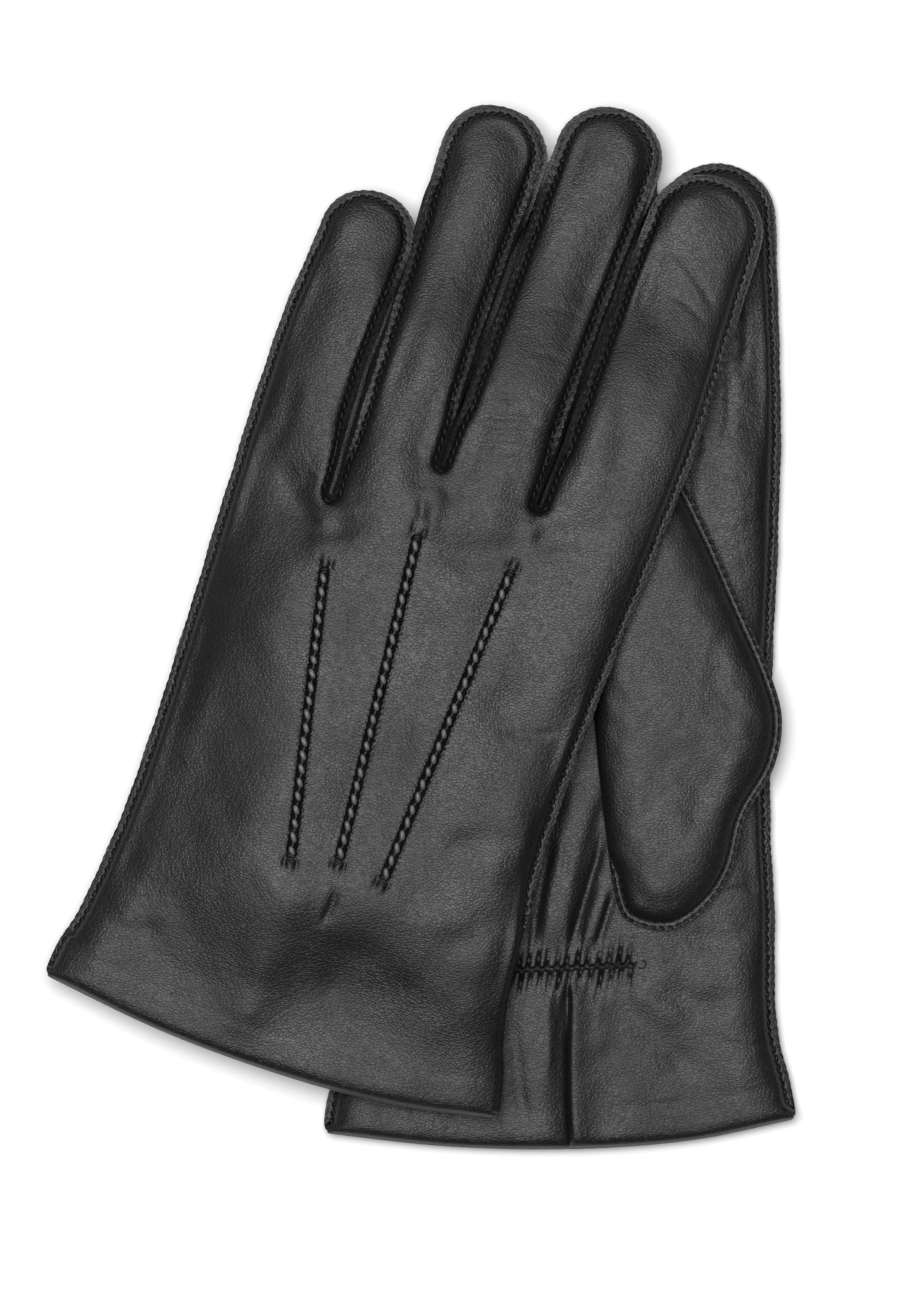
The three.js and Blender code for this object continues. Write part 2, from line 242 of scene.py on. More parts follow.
def hand_edge(step):
    hem_owner = -1
    runs = []
    for i, finger in enumerate(FINGERS):
        (u, v), (wide, long) = finger["tip"], finger["round"]
        tip = half_round((u, v), wide, long, math.pi, 0, step)
        if i == 0:
            side = through(LITTLE_SIDE + [(u - wide, v)], step)
            runs.append((side, i, np.zeros(len(side))))
        else:
            side = evenly(np.array([finger["left"], (u - wide, v)]), step)
            runs.append((side, i, 1 - smoothstep(side[:, 1], v - 16, v - 1)))
        runs.append((tip, i, np.zeros(len(tip))))
        if i < len(FINGERS) - 1:
            right, left = finger["right"], FINGERS[i + 1]["left"]
            side = evenly(np.array([(u + wide, v), right]), step)
            side[:, 0] -= finger["bow"] * np.sin(np.linspace(0, math.pi, len(side))) ** 2
            runs.append((side, i, 1 - smoothstep(side[:, 1], v - 16, v - 1)))
            half = (left[0] - right[0]) / 2
            crotch = half_round((right[0] + half, right[1]), half, half * 1.4, math.pi, math.tau, step)
            runs.append((crotch[: len(crotch) // 2], i, np.ones(len(crotch) // 2)))
            runs.append((crotch[len(crotch) // 2 :], i + 1, np.ones(len(crotch) - len(crotch) // 2)))
    u, v = FINGERS[-1]["tip"]
    side = through([(u + FINGERS[-1]["round"][0], v)] + INDEX_SIDE, step)
    hem = through(HEM, step)[::-1]
    # The hem's corners are rounded: each is cut back and bridged by a quarter turn.
    back = int(HEM_CORNER / step)
    little_side = runs[0][0]
    corners = []
    for before, after in ((side, hem), (hem, little_side)):
        t = np.linspace(0, 1, 2 * back)[:, None]
        a, b, c = before[-back], before[-1], after[back]
        corners.append((1 - t) ** 2 * a + 2 * t * (1 - t) * b + t**2 * c)
    runs[0] = (little_side[back:], 0, runs[0][2][back:])
    side, hem = side[:-back], hem[back:-back]
    runs.append((side, len(FINGERS) - 1, np.zeros(len(side))))
    for run in (corners[0], hem, corners[1]):
        runs.append((run, hem_owner, np.zeros(len(run))))
    edge = Edge(runs)
    # A cut edge of soft leather is never quite true: it stands out a little between the stitches.
    wander = 0.08 * np.cos(math.tau * edge.run / STITCH)
    wander += 0.15 * np.sin(edge.run / 2.9) * np.sin(edge.run / 7.7)
    fade = smoothstep(edge.line[:, 1], 3, TACK) * (edge.owner >= 0)
    edge.border = edge.line + edge.out * (wander * fade)[:, None]
    return edge


def hem_height(p):
    """How far up from the hem line each point is."""
    hem = through(HEM, 1.0)
    return p[:, 1] - np.interp(p[:, 0], hem[:, 0], hem[:, 1])


# ---------------------------------------------------------------- cutting the leather into a mesh


def inside_of(polygon, p):
    """Which points lie inside the closed polygon."""
    a, b = polygon, np.roll(polygon, -1, axis=0)
    inside = np.zeros(len(p), bool)
    for (x0, y0), (x1, y1) in zip(a, b):
        if y0 == y1:
            continue
        crosses = (p[:, 1] >= min(y0, y1)) & (p[:, 1] < max(y0, y1))
        inside ^= crosses & (p[:, 0] < x0 + (p[:, 1] - y0) * (x1 - x0) / (y1 - y0))
    return inside


def cut(edge, pitch, rows, lines=(), hole=None):
    """A flat piece of leather as points and triangles: rows that follow the edge, rows that follow any given
    lines, and an even spread of points between them. A hole is a circle (u, v, radius)."""
    every = max(1, int(round(pitch / (edge.run[-1] / len(edge.run)))))
    border, line, out = edge.border[::every], edge.line[::every], edge.out[::every]
    margin = rows[-1] + pitch * 0.6
    seeds = []
    for row in rows:
        ring = line - out * row
        far, _ = nearest(edge.whole, ring)
        seeds.append(ring[far > row - 0.06 * pitch])
    low, high = border.min(0), border.max(0)
    tall = pitch * 1.3 * math.sqrt(3) / 2
    field_rows = np.arange(low[1], high[1], tall)
    field = [
        np.array([(u, v) for u in np.arange(low[0] + (i % 2) * pitch * 0.65, high[0], pitch * 1.3)])
        for i, v in enumerate(field_rows)
    ]
    field = np.vstack(field)
    field = field[inside_of(edge.line[::4], field)]
    far, _ = nearest(edge.whole, field)
    field = field[far > margin]
    for top, foot, offsets, step in lines:
        _, foot, length, way, side = straight(top, foot)
        rel = field - foot
        across, along = np.abs(rel @ side), rel @ way
        field = field[(across > offsets[-1] + 0.4) | (along < -2.4) | (along > length + 2.4)]
        run = np.arange(-2.0, length + 2.0, step)
        for off in offsets:
            for sign in (1, -1) if off else (1,):
                seeds.append(foot + run[:, None] * way + sign * off * side)
    seeds.append(field)
    loops = [border]
    if hole:
        centre, radius = np.array(hole[:2]), hole[2]
        seeds = [s[np.hypot(*(s - centre).T) > radius + 0.4 * pitch] for s in seeds]
        loops.append(half_round(centre, radius, radius, 0, -math.tau, pitch)[:-1])
    points = np.vstack(loops + seeds)
    edges, start = [], 0
    for loop in loops:
        edges += [(start + i, start + (i + 1) % len(loop)) for i in range(len(loop))]
        start += len(loop)
    found = delaunay_2d_cdt([Vector(q) for q in points], edges, [], 1, 1e-5)
    flat = np.array([tuple(q) for q in found[0]])
    faces = np.array(found[2])
    a, b, c = flat[faces[:, 0]], flat[faces[:, 1]], flat[faces[:, 2]]
    area = (b[:, 0] - a[:, 0]) * (c[:, 1] - a[:, 1]) - (b[:, 1] - a[:, 1]) * (c[:, 0] - a[:, 0])
    faces[area < 0] = faces[area < 0][:, ::-1]
    faces = faces[np.abs(area) > 1e-7]
    if hole:
        middle = flat[faces].mean(1)
        faces = faces[np.hypot(*(middle - centre).T) > radius * 0.98]
    used = np.unique(faces)
    renumber = np.full(len(flat), -1)
    renumber[used] = np.arange(len(used))
    return flat[used], renumber[faces]


# ---------------------------------------------------------------- the relief of a panel


def dome(x):
    x = np.clip(x, 0, 1)
    return np.sqrt(np.maximum(0, 1 - (1 - x) ** 2))


def on_path(p, path, reach):
    """For the points within reach of a smooth path: which they are, their signed distance to it (positive on
    its left) and how far along it they lie, from 0 to 1."""
    line = through(path, 0.8)
    low, high = line.min(0) - reach, line.max(0) + reach
    near = np.flatnonzero(((p > low) & (p < high)).all(1))
    away = p[near][:, None] - line[None]
    closest = (away**2).sum(2).argmin(1)
    way = np.gradient(line, axis=0)
    way /= np.hypot(*way.T)[:, None]
    gap = away[np.arange(len(near)), closest]
    way = way[closest]
    off = way[:, 0] * gap[:, 1] - way[:, 1] * gap[:, 0]
    t = (closest + (gap * way).sum(1) / 0.8) / (len(line) - 1)
    return near, off, np.clip(t, 0, 1)


def taper(t, ends=0.3):
    return smoothstep(t, 0, ends) * (1 - smoothstep(t, 1 - ends, 1))


def crease(h, p, path, width, depth, ends=0.3):
    """A valley along the path, or a ridge where depth is negative."""
    near, off, t = on_path(p, path, 3 * width)
    h[near] -= depth * np.exp(-((off / width) ** 2)) * taper(t, ends)


def fold(h, p, path, width, rise, back):
    """Leather lapped over itself: it stands up sharply left of the path and falls back over a longer way, and
    on the right of the path it sinks under."""
    near, off, t = on_path(p, path, 3 * back)
    dip = np.exp(-np.abs(off) / width)
    up = np.exp(-((off / back) ** 2)) * (1 - dip) - 1.1 * dip
    down = -0.6 * np.exp(-((off / (0.7 * back)) ** 2)) - 0.5 * dip
    ends = smoothstep(t, 0, 0.12) * (1 - smoothstep(t, 0.9, 1))
    h[near] += rise * np.where(off > 0, up, down) * ends


def ridge(h, p, path, width, rise, ends=0.3):
    """A broad ridge with a flat crest and steep sides."""
    near, off, t = on_path(p, path, 3 * width)
    h[near] += rise * np.exp(-((off / width) ** 4)) * taper(t, ends)


def mound(h, p, centre, size, rise):
    """A soft bulge, or a hollow where rise is negative. size is its half width and half length."""
    h += rise * np.exp(-(((p[:, 0] - centre[0]) / size[0]) ** 2) - ((p[:, 1] - centre[1]) / size[1]) ** 2)


def allowance(side, p, owner):
    """The width of the seam allowance: narrow below the little finger's tack, and turned under by the hem."""
    v = p[:, 1]
    if side == "right":
        wide = ALLOWANCE * smoothstep(v, 0.5, 4.5)
    else:
        little = smoothstep(v, 2, 5) * (1.1 + (ALLOWANCE - 1.1) * smoothstep(v, TACK - 1.2, TACK))
        wide = np.where(owner == len(FINGERS) - 1, ALLOWANCE * smoothstep(v, 40, 62), little)
    # It is trimmed close round the foot of each slit.
    for finger in FINGERS[:-1]:
        u, foot = finger["right"]
        away = np.hypot(p[:, 0] - u - 1, np.where(v > foot, (v - foot) / 2.5, v - foot))
        wide = wide * (1 - 0.45 * (1 - smoothstep(away, 3, 8)))
    return wide


def seams(side, p):
    """How the seams lift a panel: its height at each point without folds, and how free it is to fold."""
    far, at = EDGE.seam_at(p)
    slit, run, owner = EDGE.slit[at], EDGE.run[at], EDGE.owner[at]
    strip = allowance(side, p, owner)
    rise = EDGE_RISE + (SLIT_RISE - EDGE_RISE) * slit
    body = np.maximum(far - strip, 0)
    # Between fingers the leather lies level with its seam. At an outer edge it rolls over to it.
    tips = np.array([finger["tip"][1] for finger in FINGERS])[owner]
    full = FULL - 1.8 * smoothstep(p[:, 1], tips - 24, tips + 9)
    rounding = 0.52 * np.sin(np.clip(body / 10.5, 0, 1) * math.pi / 2) + 0.48 * dome(body / 2.2)
    h = rise + (full - rise) * rounding
    # The allowance curls up beside a slit and down at an outer edge. Each stitch draws a groove inside it.
    beat = stitch_beat(run, STITCH)
    out = np.clip(1 - far / np.maximum(strip, 0.01), 0, 1)
    lip = 0.65 * slit * out**1.5 - 0.4 * (1 - slit) * out - 0.13 * out * beat
    wavy = strip + 0.16 * np.sin(math.tau * run / STITCH) + 0.12 * np.sin(run / 1.9)
    pull = (0.35 + 0.75 * beat) * np.exp(-(((far - wavy) / (0.28 + 0.14 * beat)) ** 2)) * (strip > 0.5)
    h += lip * (far < strip) - pull
    return h, smoothstep(body, 0.3, 4.5)


def crotches(h, p):
    """The leather bulges and puckers just below each slit."""
    for one, other in zip(FINGERS, FINGERS[1:]):
        u, v = (one["right"][0] + other["left"][0]) / 2, one["right"][1]
        mound(h, p, (u, v - 6.2), (1.7, 2.2), 0.45)
        du, dv = p[:, 0] - u, p[:, 1] - (v - 1)
        far, turn = np.hypot(du, dv), np.arctan2(du, -dv)
        pucker = np.cos(5 * turn) * (np.abs(turn) < 2.2) * np.exp(-((far - 6) / 4.5) ** 2)
        h += 0.16 * pucker


def points_relief(h, p):
    """The three points: a nip of leather with a groove either side of its thread."""
    for top, foot in POINTS.values():
        top, foot, length, way, across = straight(top, foot)
        rel = p - foot
        off, along = np.abs(rel @ across), rel @ way
        on = smoothstep(along, -0.8, 0.4) * (1 - smoothstep(along, length - 0.4, length + 0.8))
        # The two sides are drawn in by turns: a slanted stitch goes down on one and then on the other.
        beat = stitch_beat(along, BEAD / 2, np.where(rel @ across > 0, 0, math.pi))
        drawn = 0.8 + 0.25 * np.sin(along / 1.3) * np.sin(along / 3.1)
        nip = 0.35 * (1 - beat) * np.exp(-(((off - 1.3) / 0.3) ** 2))
        groove = drawn * (0.5 + 0.75 * beat) * np.exp(-(((off - 0.72) / (0.28 + 0.12 * beat)) ** 2))
        hollow = 0.25 * np.exp(-((off / 3.2) ** 2))
        h += (nip - groove - hollow) * on
        # The leather is drawn in towards each end of a point, and stands up beyond it.
        for end, way_out in ((foot, -way), (top, way)):
            beyond = (p - end) @ way_out
            aside = np.abs((p - end) @ across)
            h += 0.35 * np.exp(-((aside / 0.8) ** 2) - ((beyond - 2.2) / 1.6) ** 2)
            h -= 0.5 * np.exp(-(((aside - 1.5) / 0.5) ** 2) - ((beyond - 1.4) / 1.6) ** 2)


def hem_relief(h, p):
    """The hem is a fold, a little thicker than the panel above it."""
    up = hem_height(p)
    h += 0.2 * (1 - smoothstep(up, 7.0, 9.5)) * smoothstep(h, 1.5, 3.5)
    roll = np.clip(h - 1.6, 0, None)
    h -= 0.75 * roll * (1 - dome(up / 4.6)) ** 1.3


def back_folds(h, p):
    """The left glove's back, as its hand has left it."""
    # across the knuckles
    crease(h, p, [(-4, 131), (5, 131), (15, 133), (24, 138), (34, 144), (48, 150)], 4.0, 1.3)
    mound(h, p, (9, 121), (9, 6), 0.8)
    mound(h, p, (12, 144), (8, 5.5), 0.8)
    mound(h, p, (38, 133), (9, 7), 0.5)
    # below the slit of the little finger
    crease(h, p, [(-44, 144), (-37, 137), (-29, 127), (-20, 129), (-11, 138)], 3.0, 1.1)
    mound(h, p, (-25, 124), (3.0, 4.5), 0.6)
    mound(h, p, (-37, 122), (7, 9), 0.5)
    # below the slit of the middle finger, down to its point
    crease(h, p, [(-3.8, 144), (-2.6, 137), (-0.9, 129)], 1.3, 0.9)
    mound(h, p, (0.6, 140), (1.8, 6), 0.7)
    mound(h, p, (25, 139), (1.8, 3), 0.5)
    # between and beside the points
    crease(h, p, [(4.8, 120), (6.2, 100), (7.0, 82), (7.0, 64)], 3.8, 0.55)
    mound(h, p, (14, 102), (5, 18), 0.5)
    mound(h, p, (-9, 92), (5, 24), -0.6)
    mound(h, p, (-31, 96), (8, 24), 0.7)
    mound(h, p, (-47, 92), (4, 40), -0.4)
    mound(h, p, (31, 99), (8, 6), -0.9)
    mound(h, p, (27, 112), (8, 6), 0.7)
    mound(h, p, (36, 84), (9, 7), 0.5)
    crease(h, p, [(30, 92), (38, 93), (47, 97)], 1.4, 0.5)
    crease(h, p, [(26, 59), (35, 65), (46, 68)], 3.4, 0.8)
    mound(h, p, (26, 70), (8, 8), 0.5)
    # the cuff: a broad ridge runs down from the feet of the points, with hollows beside it
    mound(h, p, (-34, 62), (9, 14), -0.6)
    mound(h, p, (-42, 84), (6, 12), 0.4)
    crease(h, p, [(-5, 46), (-7, 30), (-8, 16), (-9, -2)], 6.5, -1.9, 0.2)
    crease(h, p, [(-24, 40), (-25, 28), (-27, 14)], 6.5, 0.4)
    crease(h, p, [(14, 36), (11, 24), (8, 12)], 5.0, 1.2, 0.35)
    crease(h, p, [(26, 46), (27, 34), (25, 24)], 6.0, -0.7)
    crease(h, p, [(44, 52), (40, 42), (30, 36)], 4.0, 0.9)
    mound(h, p, (38, 18), (9, 10), 0.7)
    mound(h, p, (-46, 24), (7, 4), 0.5)
    crease(h, p, [(-50, 18), (-42, 18), (-34, 22)], 2.2, 0.5)
    mound(h, p, (-48, 12), (6, 4), 0.5)
    crease(h, p, [(3.4, 45), (4.0, 39), (2.6, 32)], 1.1, 1.0, 0.4)
    # fingers
    crease(h, p, [(-43, 166), (-42, 150), (-45, 138)], 2.4, 0.7)
    crease(h, p, [(-20, 160), (-17, 180), (-16, 205)], 2.6, 0.5)
    mound(h, p, (-9, 178), (3.5, 22), 0.4)
    crease(h, p, [(6, 160), (9, 180), (10, 200)], 2.6, 0.4)
    crease(h, p, [(33, 190), (38, 176), (42, 160)], 3.4, 0.8)
    crease(h, p, [(34, 215), (36, 205), (43, 196)], 3.0, 0.5)
    for v, size in ((173, 0.35), (167.5, 0.45), (164, 0.4), (160.5, 0.3), (157, 0.25)):
        crease(h, p, [(1, v - 2), (8, v - 1.2), (15, v + 0.6), (21, v)], 0.85, size)
    crease(h, p, [(53, 207), (47, 213), (40, 218), (33, 220)], 1.1, 0.5)
    crease(h, p, [(52, 203), (46, 207), (39, 209)], 0.9, 0.35)
    for v in (196, 184):
        crease(h, p, [(10, v), (17, v + 1), (23, v)], 0.8, 0.18)


def gathers(h, p):
    """The wrist elastic draws the palm into small pleats, with the thread at their waist."""
    end_u, end_v = ELASTIC_END
    du, dv = end_u - p[:, 0], p[:, 1] - end_v
    on = smoothstep(du, -0.5, 2.0) * (1 - smoothstep(du, ELASTIC[0] - 2, ELASTIC[0] + 1))
    turn = math.tau * (du + 0.12 * dv) / PLEAT + 0.7 * np.sin(du / 4.1) + np.where(dv > 0, 0, math.pi)
    reach = 2.2 + 2.6 * np.sin(du / 3.3 + np.where(dv > 0, 0, 2)) ** 2
    body = np.exp(-np.abs(dv) / reach) * (1 - np.exp(-((dv / 0.5) ** 2)))
    waist = 0.45 * np.exp(-((dv / 0.5) ** 2)) + 0.5 * np.exp(-((dv / 7) ** 2))
    lobe = np.abs(np.sin(turn / 2)) ** 0.55 - 0.7
    h += on * (1.8 * (0.8 + 0.2 * np.sin(1.3 * du + 2)) * lobe * body - waist)


def palm_folds(h, p):
    """The right glove's palm: folds that run into the gathers, and out of them to the hem."""
    # the lapped fold from the gathers to the hem, and the hollows beside it
    fold(h, p, [(0.1, 37), (0.4, 28), (0.8, 18), (1.1, 8), (1.4, -1.5), (1.5, -9)], 0.6, 1.5, 5.2)
    crease(h, p, [(-14.5, 33), (-11.5, 16), (-9, -1)], 2.2, 0.6)
    crease(h, p, [(-5.1, 36), (-3.8, 24), (-3.8, 9)], 1.5, -0.35)
    # the two folds between the upper glove's edge and the thumb
    ridge(h, p, [(-4.6, 42), (-3.5, 56), (0, 69), (4.6, 83), (8, 92)], 4.3, 1.2, 0.25)
    crease(h, p, [(0.2, 42), (1.8, 51), (4.6, 60), (7.4, 68), (9, 76)], 1.3, 0.9, 0.25)
    crease(h, p, [(-9.4, 42), (-8.6, 51), (-6.6, 62), (-3.6, 74)], 1.6, 0.75, 0.25)
    crease(h, p, [(-1.6, 60), (-0.6, 68), (0.6, 75)], 0.9, 0.22)
    ridge(h, p, [(3.9, 43), (6.4, 53), (9.6, 62)], 1.9, 0.55)
    crease(h, p, [(5.6, 43), (8.8, 52), (11.6, 61)], 1.2, 0.6)
    # soft diagonals out of the end of the gathers
    crease(h, p, [(11, 35), (17, 27), (27, 18), (38, 10)], 3.4, 0.45)
    crease(h, p, [(15, 36), (22, 30), (32, 24)], 2.8, -0.35)
    crease(h, p, [(7.5, 34), (9, 26), (9, 16)], 2.6, -0.35)
    crease(h, p, [(19, 37), (30, 31), (44, 27)], 3.0, 0.35)
    crease(h, p, [(20, 47), (32, 46), (46, 41)], 3.0, 0.35)
    mound(h, p, (36, 37), (9, 6), 0.4)
    mound(h, p, (46, 14), (8, 6), 0.4)
    crease(h, p, [(36, 57), (44, 58), (51, 56)], 0.9, 0.25)
    crease(h, p, [(38, 21), (46, 18.5), (54, 20)], 0.9, 0.25)
    crease(h, p, [(12, 5.5), (24, 5), (34, 5.5)], 0.7, 0.12)
    # the base of the index finger, where the leather has been flexed most
    for u, v, size in ((34, 152, 0.3), (37, 172, 0.35), (41, 188, 0.35), (45, 178, 0.3), (50, 196, 0.3)):
        crease(h, p, [(u - 2.5, v - 11), (u - 0.8, v - 5), (u, v), (u + 0.6, v + 12)], 1.3, size)
    for k in range(26):
        u, v = 45 + 5.5 * math.sin(2.4 * k), 143 + 2.2 * k
        start, end = v - 0.8 * math.sin(k), v + 0.7 * math.cos(3 * k)
        crease(h, p, [(u - 2.6, start), (u, v), (u + 2.6, end)], 0.5, 0.14)
    crease(h, p, [(44, 204), (46, 214), (46, 224)], 1.6, 0.35)


def panel_relief(side, panel, p):
    """The outer face of one panel: its height above the middle of the glove, at points of the pattern."""
    h, free = seams(side, p)
    seed = 11 if side == "left" else 31
    loose = 0.5 * swell(p, seed, 34, 1.6) + 0.06 * swell(p, seed + 1, 10)
    loose += 0.018 * swell(p, seed + 2, 2.6, 0.7)
    crotches(loose, p)
    folds = np.zeros(len(p))
    if (side, panel) == ("left", "back"):
        back_folds(folds, p)
        loose += BACK_DEPTH * folds
    if (side, panel) == ("right", "palm"):
        palm_folds(folds, p)
        loose += folds
    h += free * loose
    if panel == "palm":
        gathers(h, p)
    else:
        points_relief(h, p)
    hem_relief(h, p)
    if panel_facing(side, panel) < 0:
        # The face that the glove lies on is pressed flat.
        h = np.minimum(h, LIES[side].middle - LIES[side].floor)
    return h


# ---------------------------------------------------------------- laying a glove on the table


class Lie:
    """Where one glove lies: its turn, the place of its pattern's origin, and the height of its middle."""

    def __init__(self, side, turn, lean, sags):
        self.turn, self.lean, self.sags = turn, lean, sags
        hinge = next(j for j in frame["joints"] if j["name"] == side + "_thumb_swing")
        pivot = np.array(hinge["pos_m"][:2]) / MM
        u, v = THUMB_PIVOT[0] + lean, THUMB_PIVOT[1]
        self.origin = pivot - np.array(self.turned(u, v))
        low = min(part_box(f"{side}_{panel}_panel")[0].z for panel in ("back", "palm")) / MM
        high = max(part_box(f"{side}_{panel}_panel")[1].z for panel in ("back", "palm")) / MM
        self.middle = (low + high) / 2
        self.floor = low

    def turned(self, x, y):
        c, s = math.cos(self.turn), math.sin(self.turn)
        return c * x - s * y, s * x + c * y

    def sag(self, p):
        """How far the upper glove hangs down where the thumbs don't hold it up."""
        if not self.sags:
            return np.zeros(len(p))
        du = np.maximum(np.maximum(-12 - p[:, 0], p[:, 0] - 62), 0)
        dv = np.maximum(np.maximum(45 - p[:, 1], p[:, 1] - 172), 0)
        away = smoothstep(np.hypot(du, dv), 0, 38)
        overhang = smoothstep(-p[:, 0], 20, 62) * (1 - smoothstep(p[:, 1], 90, 190))
        return DROOP * away + OVERHANG * overhang

    def place(self, p, z):
        """Points of the pattern, at heights above the glove's middle, as places on the table in metres."""
        x = p[:, 0] + self.lean * smoothstep(p[:, 1], 0, LEAN_LENGTH)
        wx, wy = self.turned(x, p[:, 1])
        wz = self.middle + z - self.sag(p)
        if not self.sags:
            wz = np.maximum(wz, 0.02)
        return np.column_stack([wx + self.origin[0], wy + self.origin[1], wz]) * MM


# ---------------------------------------------------------------- making pieces


def piece(name, verts, faces, material, body, stands_for, angle=55):
    """One finished mesh, riding on a body and standing for a CAD node. It is smooth up to that angle."""
    mesh = bpy.data.meshes.new(name)
    mesh.from_pydata([tuple(v) for v in verts], [], [tuple(int(i) for i in f) for f in faces])
    mesh.validate()
    mesh.polygons.foreach_set("use_smooth", [True] * len(mesh.polygons))
    mesh.set_sharp_from_angle(angle=math.radians(angle))
    mesh.materials.append(material)
    obj = bpy.data.objects.new(name, mesh)
    bpy.context.scene.collection.objects.link(obj)
    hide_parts(stands_for)
    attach(obj, body)
    return obj


def rim_of(faces):
    """The edges that only one triangle uses, in the direction that triangle has them."""
    sides = np.vstack([faces[:, [0, 1]], faces[:, [1, 2]], faces[:, [2, 0]]])
    keys = {(a, b) for a, b in sides.tolist()}
    return np.array([(a, b) for a, b in keys if (b, a) not in keys])


def shell(lie, p, faces, outer, inner, facing, nose):
    """A closed skin between an outer and an inner height. facing is 1 for up and -1 for down, and nose is
    how far the rim stands out at each point."""
    rim = rim_of(faces)
    n = len(p)
    on_rim = np.unique(rim)
    ahead = np.zeros((n, 2))
    for a, b in rim:
        way = p[b] - p[a]
        ahead[a] += way
        ahead[b] += way
    way = ahead[on_rim] / np.maximum(np.hypot(*ahead[on_rim].T), 1e-6)[:, None]
    out = np.column_stack([way[:, 1], -way[:, 0]])
    middle_p = p[on_rim] + out * nose[on_rim, None]
    middle_z = (outer[on_rim] + inner[on_rim]) / 2
    verts = lie.place(np.vstack([p, p, middle_p]), facing * np.concatenate([outer, inner, middle_z]))
    where = np.zeros(n, int)
    where[on_rim] = 2 * n + np.arange(len(on_rim))
    a, b = rim[:, 0], rim[:, 1]
    top = faces
    under = faces[:, ::-1] + n
    rim_top = np.column_stack([b, a, where[a], where[b]])
    rim_under = np.column_stack([where[b], where[a], a + n, b + n])
    if facing < 0:
        top, under, rim_top, rim_under = (f[:, ::-1] for f in (top, under, rim_top, rim_under))
    return verts, [*top.tolist(), *under.tolist(), *rim_top.tolist(), *rim_under.tolist()]


GRAIN_RINGS = ((-0.42, 0.62), (-0.2, 1.0), (0.2, 1.0), (0.42, 0.62))  # place along a grain, and size


def grains(places, ways, lengths, width, thick, sides=6):
    """Many small rounded grains, such as stitches, in one mesh: each lies at a place along its way."""
    ways = ways / np.linalg.norm(ways, axis=1)[:, None]
    side = np.cross(ways, (0, 0, 1.0))
    side /= np.maximum(np.linalg.norm(side, axis=1), 1e-9)[:, None]
    up = np.cross(side, ways)
    around = np.arange(sides) * math.tau / sides
    rings = [(along, size * math.cos(a), size * math.sin(a)) for along, size in GRAIN_RINGS for a in around]
    local = np.array([(-0.5, 0, 0)] + rings + [(0.5, 0, 0)])
    last = len(local) - 1
    end_ring = last - sides
    local_faces = []
    for k in range(sides):
        m = (k + 1) % sides
        local_faces.append((0, 1 + k, 1 + m))
        for a in range(1, end_ring, sides):
            local_faces.append((a + k, a + sides + k, a + sides + m, a + m))
        local_faces.append((end_ring + k, last, end_ring + m))
    verts, faces = [], []
    for i in range(len(places)):
        verts.append(
            places[i]
            + local[:, :1] * ways[i] * lengths[i]
            + local[:, 1:2] * side[i] * width / 2
            + local[:, 2:] * up[i] * thick / 2
        )
        base = i * len(local)
        faces += [tuple(base + j for j in f) for f in local_faces]
    return np.vstack(verts), faces


def tube(line, radius, sides=8):
    """A round thread along a line of places."""
    way = np.gradient(line, axis=0)
    way /= np.linalg.norm(way, axis=1)[:, None]
    side = np.cross(way, (0, 0, 1.0))
    side /= np.maximum(np.linalg.norm(side, axis=1), 1e-9)[:, None]
    up = np.cross(side, way)
    a = np.arange(sides) * math.tau / sides
    spokes = np.cos(a)[None, :, None] * side[:, None] + np.sin(a)[None, :, None] * up[:, None]
    rings = line[:, None] + radius * spokes
    verts = np.vstack([rings.reshape(-1, 3), line[:1], line[-1:]])
    n, last = len(line), len(line) * sides
    faces = []
    for k in range(sides):
        m = (k + 1) % sides
        for i in range(0, (n - 1) * sides, sides):
            faces.append((i + k, i + m, i + sides + m, i + sides + k))
        faces += [(last, m, k), (last + 1, (n - 1) * sides + k, (n - 1) * sides + m)]
    return verts, faces


def joined(parts):
    verts, faces, start = [], [], 0
    for v, f in parts:
        verts.append(v)
        faces += [tuple(start + i for i in one) for one in f]
        start += len(v)
    return np.vstack(verts), faces


# ---------------------------------------------------------------- materials


def linear(hex_colour):
    """An sRGB hex colour as the linear colour that a shader takes."""
    parts = [int(hex_colour[i : i + 2], 16) / 255 for i in (1, 3, 5)]
    return (*(c / 12.92 if c <= 0.04045 else ((c + 0.055) / 1.055) ** 2.4 for c in parts), 1.0)


def add(tree, kind, settings=None, **links):
    """A node with its settings, and with links into its inputs from other nodes' sockets."""
    node = tree.nodes.new(kind)
    for key, value in (settings or {}).items():
        if isinstance(key, str) and hasattr(node, key):
            setattr(node, key, value)
        else:
            node.inputs[key].default_value = value
    for key, socket in links.items():
        tree.links.new(socket, node.inputs[int(key[2:]) if key.startswith("in") else key.replace("_", " ")])
    return node


def new_material(name):
    material = bpy.data.materials.new(name)
    material.use_nodes = True
    material.node_tree.nodes.clear()
    return material, material.node_tree


def finish(tree, height, strength, depth, settings, **links):
    """What the light meets: a relief of the given depth in millimetres, and the shader over it."""
    bump = add(tree, "ShaderNodeBump", {"Strength": strength, "Distance": depth * MM}, Height=height)
    shader = add(tree, "ShaderNodeBsdfPrincipled", settings, Normal=bump.outputs["Normal"], **links)
    add(tree, "ShaderNodeOutputMaterial", Surface=shader.outputs["BSDF"])


def in_millimetres(tree, turn, stretch=(1, 1, 1)):
    """Object coordinates in millimetres, turned with the glove so that a pattern runs across its hand."""
    coords = add(tree, "ShaderNodeTexCoord")
    turned = add(
        tree,
        "ShaderNodeMapping",
        {"vector_type": "TEXTURE", "Rotation": (0, 0, turn), "Scale": tuple(MM * s for s in stretch)},
        Vector=coords.outputs["Object"],
    )
    return turned.outputs["Vector"]


